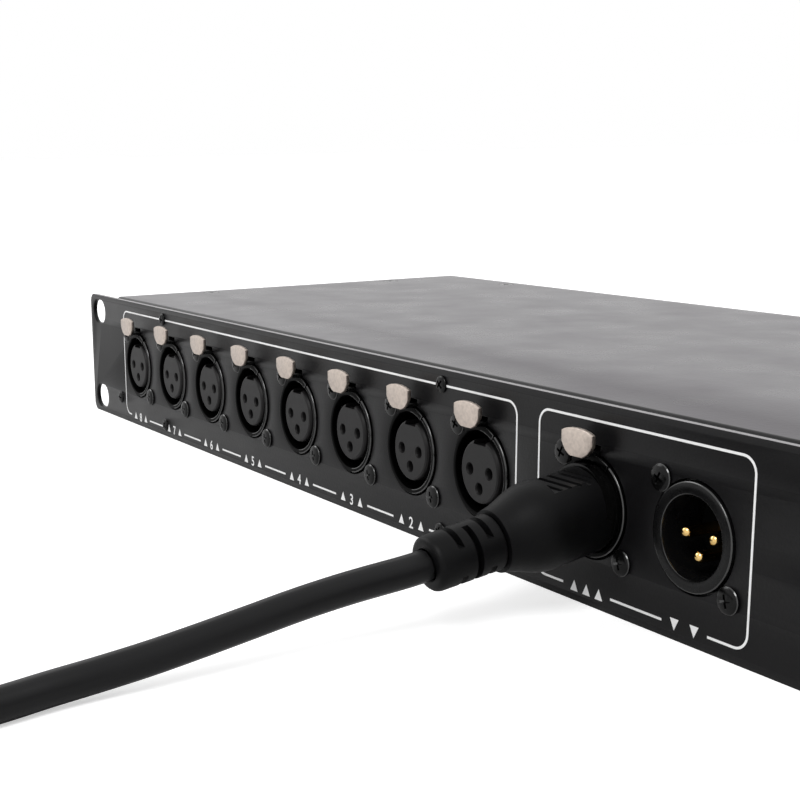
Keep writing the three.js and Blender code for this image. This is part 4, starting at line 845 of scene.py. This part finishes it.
def boot(y0, y1, root, tip):
    # Ribbed sleeve along -Y from y0 to y1, its slits open in turn at top and bottom and at the sides
    hole = CORD + CORD_CLEAR
    rings = [(0, y0), (root - 0.35, y0), (root, y0 - 0.4)]
    rings += [(tip + 0.12, y1 + 1.3), (tip - 0.1, y1 + 0.6), (tip - 0.45, y1 + 0.2), (tip - 1.0, y1)]
    rings += [(hole + 0.25, y1), (hole, y1 + 0.3), (hole, y1 + 2.6), (0, y1 + 2.6)]
    sleeve = lathe(rings, 64)
    cuts = []
    for i, share in enumerate(SLIT_SHARES):
        y = y0 - share * (y0 - y1)
        if i % 2 == 0:
            web = block(-20, 20, y - 2, y + 2, -3.0, 3.0)
        else:
            web = block(-1.3, 1.3, y - 2, y + 2, -20, 20)
        cuts.append(cut(hoop(SLIT_CORE, SLIT_REACH, y - SLIT_HALF, y + SLIT_HALF), [web]))
    return cut(sleeve, cuts)


def plug():
    barrel = cut(lathe(PLUG_OUTLINE, 72), [block(-9.4, 9.4, -12.6, -2.6, 7.7, 14)])
    grooves = []
    for i in range(GROOVES):
        half, y = 6.2 - GROOVE_TAPER * i, -3.6 - GROOVE_PITCH * i
        grooves.append(block(-half, half, y - GROOVE_WIDE, y, 7.0, 9.0, 0.25))
    barrel = placed(cut(barrel, grooves), PLUG, turned(DROOP, "X"))
    finish(barrel, "plug_grip", RUBBER, ["plug_body"], angle=35)
    shell = lathe([(0, -3.4), (9.4, -3.4), (9.4, 12.5), (8.3, 12.5), (8.3, -0.9), (0, -0.9)], 64)
    shell = cut(shell, [block(-3.4, 3.4, 1.4, 6.2, 0, 12)])
    pin = [(0, -1.1), (1.1, -1.1), (1.1, 10.3), (0.6, 11), (0, 11)]
    nose = join([shell] + [lathe(pin, 20, cx, cz) for cx, cz in CONTACTS])
    finish(placed(nose, PLUG), "plug_nose", SCREW)
    sleeve = placed(boot(-25.4, -41.2, 6.0, 5.75), PLUG, turned(DROOP, "X"))
    finish(sleeve, "plug_sleeve", RUBBER, ["plug_boot"], angle=35)


plug()


def far_connector():
    # Made along -Y and turned to lie along -X on the floor
    at_end = Matrix.Translation((fine[-1][0], fine[-1][1], FAR_AXIS)) @ turned(-90, "Z")
    sleeve = boot(-0.3, -18.3, 6.3, 5.2)
    sleeve.data.transform(Matrix.Translation((0, -18.6, 0)) @ Matrix.Scale(-1, 4, (0, 1, 0)))
    sleeve.data.flip_normals()
    grip = lathe([(0, -18.6), (6.3, -18.6), (6.9, -20.5), (8.2, -24), (9.2, -26.6), (9.5, -29), (9.5, -47.6),
                  (9.2, -48.3), (8.7, -48.6), (0, -48.6)], 72)
    bands = [hoop(9.25, 11, -31.2 - 1.6 * i, -30.5 - 1.6 * i) for i in range(2)]
    grip = cut(grip, [rod(8.3, -50, -34.6), block(-3.3, 3.3, -43.9, -34.3, 0, 12)] + bands)
    face = lathe([(0, -47.4), (7.2, -47.4), (7.6, -47.0), (7.6, -34.7), (0, -34.7)], 64)
    hole = [(0, -48), (1.7, -48), (1.35, -46.9), (1.35, -35.7), (0, -35.7)]
    holes = [lathe(hole, 24, cx, cz) for cx, cz in CONTACTS]
    face = cut(face, holes + [block(-3.3, 3.3, -50, -33, 5.3, 12)])
    press = block(-3, 3, -43.6, -34.6, 6.9, 10.5, 0.6, 3)
    for o in (sleeve, grip, face, press):
        o.data.transform(at_end)
    finish(sleeve, "far_sleeve", RUBBER, ["far_connector_boot"], angle=35)
    finish(grip, "far_grip", RUBBER, ["far_connector_body"], angle=35)
    finish(face, "far_face", INSERT, ["far_connector_insert"], angle=35)
    finish(press, "far_press", NICKEL, ["far_connector_button"], "far_button", angle=35)


far_connector()


def coil_tie():
    # Round the left side of the coil
    left_x = coil_point(0.5)[0]
    right_x = max(coil_point(2.5)[0], coil_point(3.5)[0])
    wide = right_x - left_x + 2 * (CORD + TIE_GAP + TIE_THICK)
    high = HIGH + TIE_LIFT + CORD + TIE_GAP + TIE_THICK
    x = (left_x + right_x) / 2
    inside = rounded(x, high / 2, wide - 2 * TIE_THICK, high - 2 * TIE_THICK, 2.2, 8)
    tie = plate([rounded(x, high / 2, wide, high, 3, 8), inside], COIL[1] - 3.5, COIL[1] + 3.5, 0.12)
    finish(tie, "tie_band", RUBBER, ["coil_tie"], angle=35)


coil_tie()

cable.data.materials.append(JACKET)
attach(cable, "splitter")
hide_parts("cable_run", "cable_coil")

# Power switch
PIVOT_Y = 1.5
ROCKER_HALF_HIGH, ROCKER_HALF_WIDE = 7.5, 5.1
ROCKER_FRONT, ROCKER_HOLLOW, ROCKER_REST = -3.0, 1.1, 9
MARK_UP = 4.4


def switch_frame():
    body = plate([rounded(SWITCH_X, MIDDLE, 15, 21, 1.5, 6)], -1.5, -0.1, 0.3)
    body = weld(body, [bar(SWITCH_X, 6.7, -0.3, 17, MIDDLE, 9.4, 0.2)])
    body = cut(body, [bar(SWITCH_X, 5.4, -3, 9, MIDDLE, 8.3)])
    body = cut(body, [lengthwise(rod(1.5, -6.2, 6.2, 24), PIVOT_Y, MIDDLE, SWITCH_X)])
    blades = [bar(SWITCH_X, 2.4, 16.8, 24, MIDDLE + up, 0.4, 0.1) for up in (-5, 5)]
    finish(body, "switch_frame", PLASTIC, ["power_switch_frame"])
    finish(join(blades), "switch_blades", NICKEL)


def rocker_y(z):
    # Front of the rocker, hollow at its middle
    return ROCKER_FRONT + ROCKER_HOLLOW * (1 - (z / ROCKER_HALF_HIGH) ** 2)


def rocker():
    crown = [(rocker_y(ROCKER_HALF_HIGH * k / 6), ROCKER_HALF_HIGH * k / 6) for k in range(6, -7, -1)]
    back = [(0, -ROCKER_HALF_HIGH), (4, -2.5), (4, 2.5), (0, ROCKER_HALF_HIGH)]
    cap = plate([crown + back], -ROCKER_HALF_WIDE, ROCKER_HALF_WIDE, 0.25, axis="X")
    cap = weld(cap, [lengthwise(rod(1.2, -6.1, 6.1, 24))])
    slant = math.degrees(math.atan(2 * ROCKER_HOLLOW * MARK_UP / ROCKER_HALF_HIGH ** 2))
    line = block(-0.25, 0.25, -0.03, 0.1, -1.2, 1.2)
    loop = plate([circle(0, 0, 1.25, 32), circle(0, 0, 0.8, 32)], -0.03, 0.1)
    for mark, s in ((line, 1), (loop, -1)):
        placed(mark, (0, rocker_y(MARK_UP), s * MARK_UP), turned(s * slant, "X"))
    marks = join([line, loop])
    for o in (cap, marks):
        placed(o, (SWITCH_X, PIVOT_Y, MIDDLE), turned(ROCKER_REST, "X"))
    finish(cap, "rocker_cap", ROCKER, ["power_rocker"], "rocker")
    finish(marks, "rocker_marks", INK, body="rocker")


switch_frame()
rocker()


# Lamps
def lamp(name, node, x, look):
    radius, flange, leg_apart, leg_half = 2.5, 3.1, 1.27, 0.3
    dome = [(0, -2.2)] + [(radius * math.sin(math.radians(a)), 0.3 - radius * math.cos(math.radians(a)))
                          for a in range(15, 91, 15)]
    lens = lathe(dome + [(radius, 1.6), (flange, 1.6), (flange, 2.6), (radius, 2.6), (radius, 6.1), (0, 6.1)],
                 40, x, MIDDLE)
    feet = []
    for s in (-1, 1):
        left, right = x + s * leg_apart - leg_half, x + s * leg_apart + leg_half
        feet += [block(left, right, 5.9, 14.1, MIDDLE, 22.5), block(left, right, 13.5, 14.1, 8.7, 22.5)]
    finish(lens, name, look, [node])
    finish(join(feet), name + "_legs", NICKEL)


lamp("signal_lens", "signal_lamp", LAMPS_X - LAMP_APART, GREEN_LENS)
lamp("power_lens", "power_lamp", LAMPS_X + LAMP_APART, RED_LENS)

# Mains inlet, its screws and pins, the fuse drawer and the fuse
INLET_X, INLET_Z = 410.0, 22.0
INLET_FACE = DEPTH + 2.6
INLET_SCREW = 20
WELL_Z, DRAWER_Z, FUSE_Z = INLET_Z - 5.1, INLET_Z + 9.8, INLET_Z + 10
FUSE_Y, FUSE_R, FUSE_CAP_R = DEPTH - 5.4, 2.4, 2.6
CUT_END = 162
MAINS_PINS = [(-7, -2), (7, -2), (0, 2)]


def mains_inlet():
    shell = plate([rounded(INLET_X, INLET_Z, 48, 33, 4, 8)], DEPTH + 0.1, INLET_FACE, 0.5)
    shell = weld(shell, [bar(INLET_X, 13.4, DEPTH - 22, DEPTH + 0.6, INLET_Z, 15.5, 0.3)])
    well = [(INLET_X + x, WELL_Z + z) for x, z in ((-12.2, -8.3), (12.2, -8.3), (12.2, 3.3), (7.2, 8.3),
                                                   (-7.2, 8.3), (-12.2, 3.3))]
    sink = [(0, 140), (1.6, 140), (1.6, DEPTH + 2), (3.1, DEPTH + 3.5), (0, DEPTH + 3.5)]
    drawer_hole = block(INLET_X - 11.3, INLET_X + 11.3, DEPTH - 16.7, CUT_END, INLET_Z + 6.0, INLET_Z + 13.6)
    sinks = [lathe(sink, 32, INLET_X + s * INLET_SCREW, INLET_Z) for s in (-1, 1)]
    shell = cut(shell, [plate([well], DEPTH - 13.4, CUT_END), drawer_hole] + sinks)
    finish(shell, "inlet_shell", PLASTIC, ["mains_inlet"])
    pins = [bar(INLET_X + x, 1, DEPTH - 13.7, DEPTH + 0.6, WELL_Z + z, 2, 0.35) for x, z in MAINS_PINS]
    pins += [bar(INLET_X + x, 2.4, DEPTH - 29, DEPTH - 21.7, WELL_Z + z, 0.4, 0.1) for x, z in MAINS_PINS]
    finish(join(pins), "inlet_pins", NICKEL)
    rear_heads = []
    for s in (-1, 1):
        head = pan_head(0, 0, 2.9, 20 * s, height=1.5, seat=0)
        place = (INLET_X + s * INLET_SCREW, INLET_FACE, INLET_Z)
        rear_heads.append(placed(head, place, Matrix.Rotation(math.pi, 4, "Z")))
    finish(join(rear_heads), "inlet_screws", SCREW)


def fuse_drawer():
    drawer = bar(INLET_X, 12.2, INLET_FACE + 0.1, INLET_FACE + 1.7, DRAWER_Z, 4.4, 0.3)
    grip = block(INLET_X - 6.1, INLET_X + 6.1, INLET_FACE + 1.4, INLET_FACE + 2.6, DRAWER_Z + 2.2,
                 DRAWER_Z + 4.4, 0.25)
    inner = bar(INLET_X, 11, DEPTH - 16.4, INLET_FACE + 0.4, DRAWER_Z, 3.5, 0.1)
    drawer = weld(drawer, [grip, inner])
    trough = block(INLET_X - 10.2, INLET_X + 10.2, DEPTH - 8.4, DEPTH - 2.4, DRAWER_Z - 2.5, DRAWER_Z + 7)
    drawer = cut(drawer, [trough])
    finish(drawer, "drawer_tray", PLASTIC, ["fuse_drawer"], "fuse_carrier")


def fuse():
    def along(o):
        return lengthwise(o, FUSE_Y, FUSE_Z, INLET_X)

    metal = []
    for a in (-10, 5):
        metal.append(along(lathe([(0, a), (FUSE_R, a), (FUSE_CAP_R, a + 0.2), (FUSE_CAP_R, a + 4.8),
                                  (FUSE_R, a + 5), (0, a + 5)], 32)))
    metal.append(along(rod(0.15, -5.2, 5.2, 8)))
    finish(join(metal), "fuse_caps", NICKEL, body="fuse_carrier")
    tube = along(rod(FUSE_R, -5.0, 5.0, 32))
    finish(tube, "fuse_tube", GLASS, ["glass_fuse"], "fuse_carrier")


mains_inlet()
fuse_drawer()
fuse()

# Transformer: a stack of core sheets round a wound bobbin
CORE_SHEETS, CORE_PITCH, CORE_SHEET = 13, 1.02, 0.9
CORE_FRONT, CORE_LEFT, CORE_RIGHT, CORE_LOW, CORE_TOP = 72.1, 402, 443, 8.9, 40.7
CORE_IN = 0.3
BOBBIN_FRONT, BOBBIN_BACK, BOBBIN_WALL = 61.2, 96.2, 1.2
LAYERS, LAYER_PITCH, LAYER_WIDE = 16, 2.04, 1.98


def transformer():
    stack = []
    for i in range(CORE_SHEETS):
        y = CORE_FRONT + CORE_PITCH * i
        stack.append(block(CORE_LEFT, CORE_RIGHT, y, y + CORE_SHEET, CORE_LOW, CORE_TOP, 0.1, 1))
    stack.append(block(CORE_LEFT + CORE_IN, CORE_RIGHT - CORE_IN, 72.15, 85.3, CORE_LOW + CORE_IN,
                       CORE_TOP - CORE_IN))
    walls = ((BOBBIN_FRONT, BOBBIN_FRONT + BOBBIN_WALL), (BOBBIN_BACK - BOBBIN_WALL, BOBBIN_BACK))
    bobbin = [block(409.8, 435.2, a, b, 8.7, 34.6, 0.4) for a, b in walls]
    winding = []
    for i in range(LAYERS):
        y = BOBBIN_FRONT + BOBBIN_WALL + LAYER_PITCH * i
        winding.append(plate([rounded(422.5, 21.6, 23.4, 23.8, 3, 6)], y, y + LAYER_WIDE, 0.5))
    finish(join(stack), "transformer_core", STEEL, ["mains_transformer"])
    finish(join(bobbin), "transformer_bobbin", SLEEVE)
    finish(join(winding), "transformer_winding", BROWN_WIRE)


transformer()


def wire_mesh(o):
    # A cord as a working object in panel millimetres
    mesh = mesh_of(o)
    mesh.transform(TO_ROW.inverted())
    return link(bpy.data.objects.new("strand", mesh))


# Ribbon between the boards: parallel conductors in one arch
STRANDS, STRAND_PITCH, STRAND_R = 13, 1.27, 0.62
ARCH_LEFT, ARCH_RIGHT, ARCH_FOOT, ARCH_HIGH, ARCH_STEPS = 361.0, 381.0, 14.7, 8.55, 24


def ribbon_cable():
    strands = []
    for i in range(STRANDS):
        y = 60 + (i - STRANDS // 2) * STRAND_PITCH
        pts = []
        for k in range(ARCH_STEPS + 1):
            a = math.pi * k / ARCH_STEPS
            x = (ARCH_LEFT + ARCH_RIGHT) / 2 - (ARCH_RIGHT - ARCH_LEFT) / 2 * math.cos(a)
            pts.append((x, y, ARCH_FOOT + ARCH_HIGH * math.sin(a)))
        strands.append(cord_curve(f"strand_{i}", pts, STRAND_R, 2))
    whole = join([wire_mesh(o) for o in strands])
    finish(whole, "ribbon_strands", SLEEVE, ["link_ribbon"])


ribbon_cable()

# Two mains wires, twisted, from the inlet to the switch
WIRE_R, TWIST_R, TWIST_LONG = 1.1, 1.15, 24
WIRE_ROUTE = [
    (410, 116.9, 16.9), (410, 112.1, 16.9), (424, 102.9, 16.9), (444.7, 95.9, 16.9), (451.7, 70.6, 16.9),
    (444.7, 38.3, 21.9), (430, 31.3, 21.9), (430, 24.3, 21.9),
]


def twisted_wire(n):
    middle = catmull(WIRE_ROUTE, 1.5)
    pts = []
    along = 0.0
    for i, p in enumerate(middle):
        d = (middle[min(i + 1, len(middle) - 1)] - middle[max(i - 1, 0)]).normalized()
        flat_side = d.cross(Vector((0, 0, 1))).normalized()
        rise = flat_side.cross(d)
        if i:
            along += (p - middle[i - 1]).length
        a = math.pi * n + along / TWIST_LONG * 2 * math.pi
        pts.append(p + (flat_side * math.cos(a) + rise * math.sin(a)) * TWIST_R)
    return wire_mesh(cord_curve("wire", pts, WIRE_R, 3))


finish(twisted_wire(0), "mains_wire_blue", BLUE_WIRE, ["mains_wiring"])
finish(twisted_wire(1), "mains_wire_brown", BROWN_WIRE)

# Boards and heatsink keep their solids
for node, look in (("main_board", LAMINATE), ("power_board", LAMINATE), ("regulator_heatsink", ALUMINIUM)):
    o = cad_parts[node]
    o.data.materials.clear()
    o.data.materials.append(look)

# Floor, white surroundings and soft light
FLOOR_TONE, FLOOR_GLOW, FLOOR_SIZE = 0.9, 0.5, 20
SKY_LIGHT, SKY_SEEN = 0.55, 1.0


def white_floor():
    # Pale, and a little brighter to the camera alone
    look = bpy.data.materials.new("floor")
    look.use_nodes = True
    nodes, links = look.node_tree.nodes, look.node_tree.links
    shader = nodes["Principled BSDF"]
    shader.inputs["Base Color"].default_value = (FLOOR_TONE, FLOOR_TONE, FLOOR_TONE, 1)
    shader.inputs["Roughness"].default_value = 0.9
    shader.inputs["Specular IOR Level"].default_value = 0.1
    glow = nodes.new("ShaderNodeEmission")
    glow.inputs["Color"].default_value = (1, 1, 1, 1)
    ray = nodes.new("ShaderNodeLightPath")
    amount = nodes.new("ShaderNodeMath")
    amount.operation = "MULTIPLY"
    amount.inputs[1].default_value = FLOOR_GLOW
    both = nodes.new("ShaderNodeAddShader")
    links.new(ray.outputs["Is Camera Ray"], amount.inputs[0])
    links.new(amount.outputs[0], glow.inputs["Strength"])
    links.new(shader.outputs[0], both.inputs[0])
    links.new(glow.outputs[0], both.inputs[1])
    links.new(both.outputs[0], nodes["Material Output"].inputs["Surface"])
    bm = bmesh.new()
    bmesh.ops.create_grid(bm, x_segments=1, y_segments=1, size=FLOOR_SIZE)
    mesh = bpy.data.meshes.new("floor")
    bm.to_mesh(mesh)
    bm.free()
    mesh.materials.append(look)
    return link(bpy.data.objects.new("floor", mesh))


def white_world():
    # White to the camera, in gloss and through glass, and dimmer as a light
    world = bpy.data.worlds.new("world")
    bpy.context.scene.world = world
    world.use_nodes = True
    nodes, links = world.node_tree.nodes, world.node_tree.links
    nodes.clear()
    output = nodes.new("ShaderNodeOutputWorld")
    path = nodes.new("ShaderNodeLightPath")
    seen = path.outputs["Is Camera Ray"]
    for kind in ("Is Glossy Ray", "Is Transmission Ray"):
        either = nodes.new("ShaderNodeMath")
        either.operation = "MAXIMUM"
        links.new(seen, either.inputs[0])
        links.new(path.outputs[kind], either.inputs[1])
        seen = either.outputs[0]
    mix = nodes.new("ShaderNodeMixShader")
    links.new(seen, mix.inputs[0])
    for place, strength in ((1, SKY_LIGHT), (2, SKY_SEEN)):
        sky = nodes.new("ShaderNodeBackground")
        sky.inputs["Color"].default_value = (1, 1, 1, 1)
        sky.inputs["Strength"].default_value = strength
        links.new(sky.outputs[0], mix.inputs[place])
    links.new(mix.outputs[0], output.inputs["Surface"])


def area(name, spot, size, power):
    # A round soft light aimed at the origin
    data = bpy.data.lights.new(name, "AREA")
    data.shape = "DISK"
    data.size = size
    data.energy = power
    light = link(bpy.data.objects.new(name, data))
    light.location = spot
    light.rotation_euler = (-Vector(spot)).to_track_quat("-Z", "Y").to_euler()


white_floor()
white_world()
area("key", (0.9, -1.1, 1.5), 0.9, 16)
area("fill", (-1.3, -0.9, 1.1), 1.0, 8)
area("back", (0.3, 1.5, 1.3), 1.0, 8)

bpy.context.scene.view_settings.view_transform = "Standard"
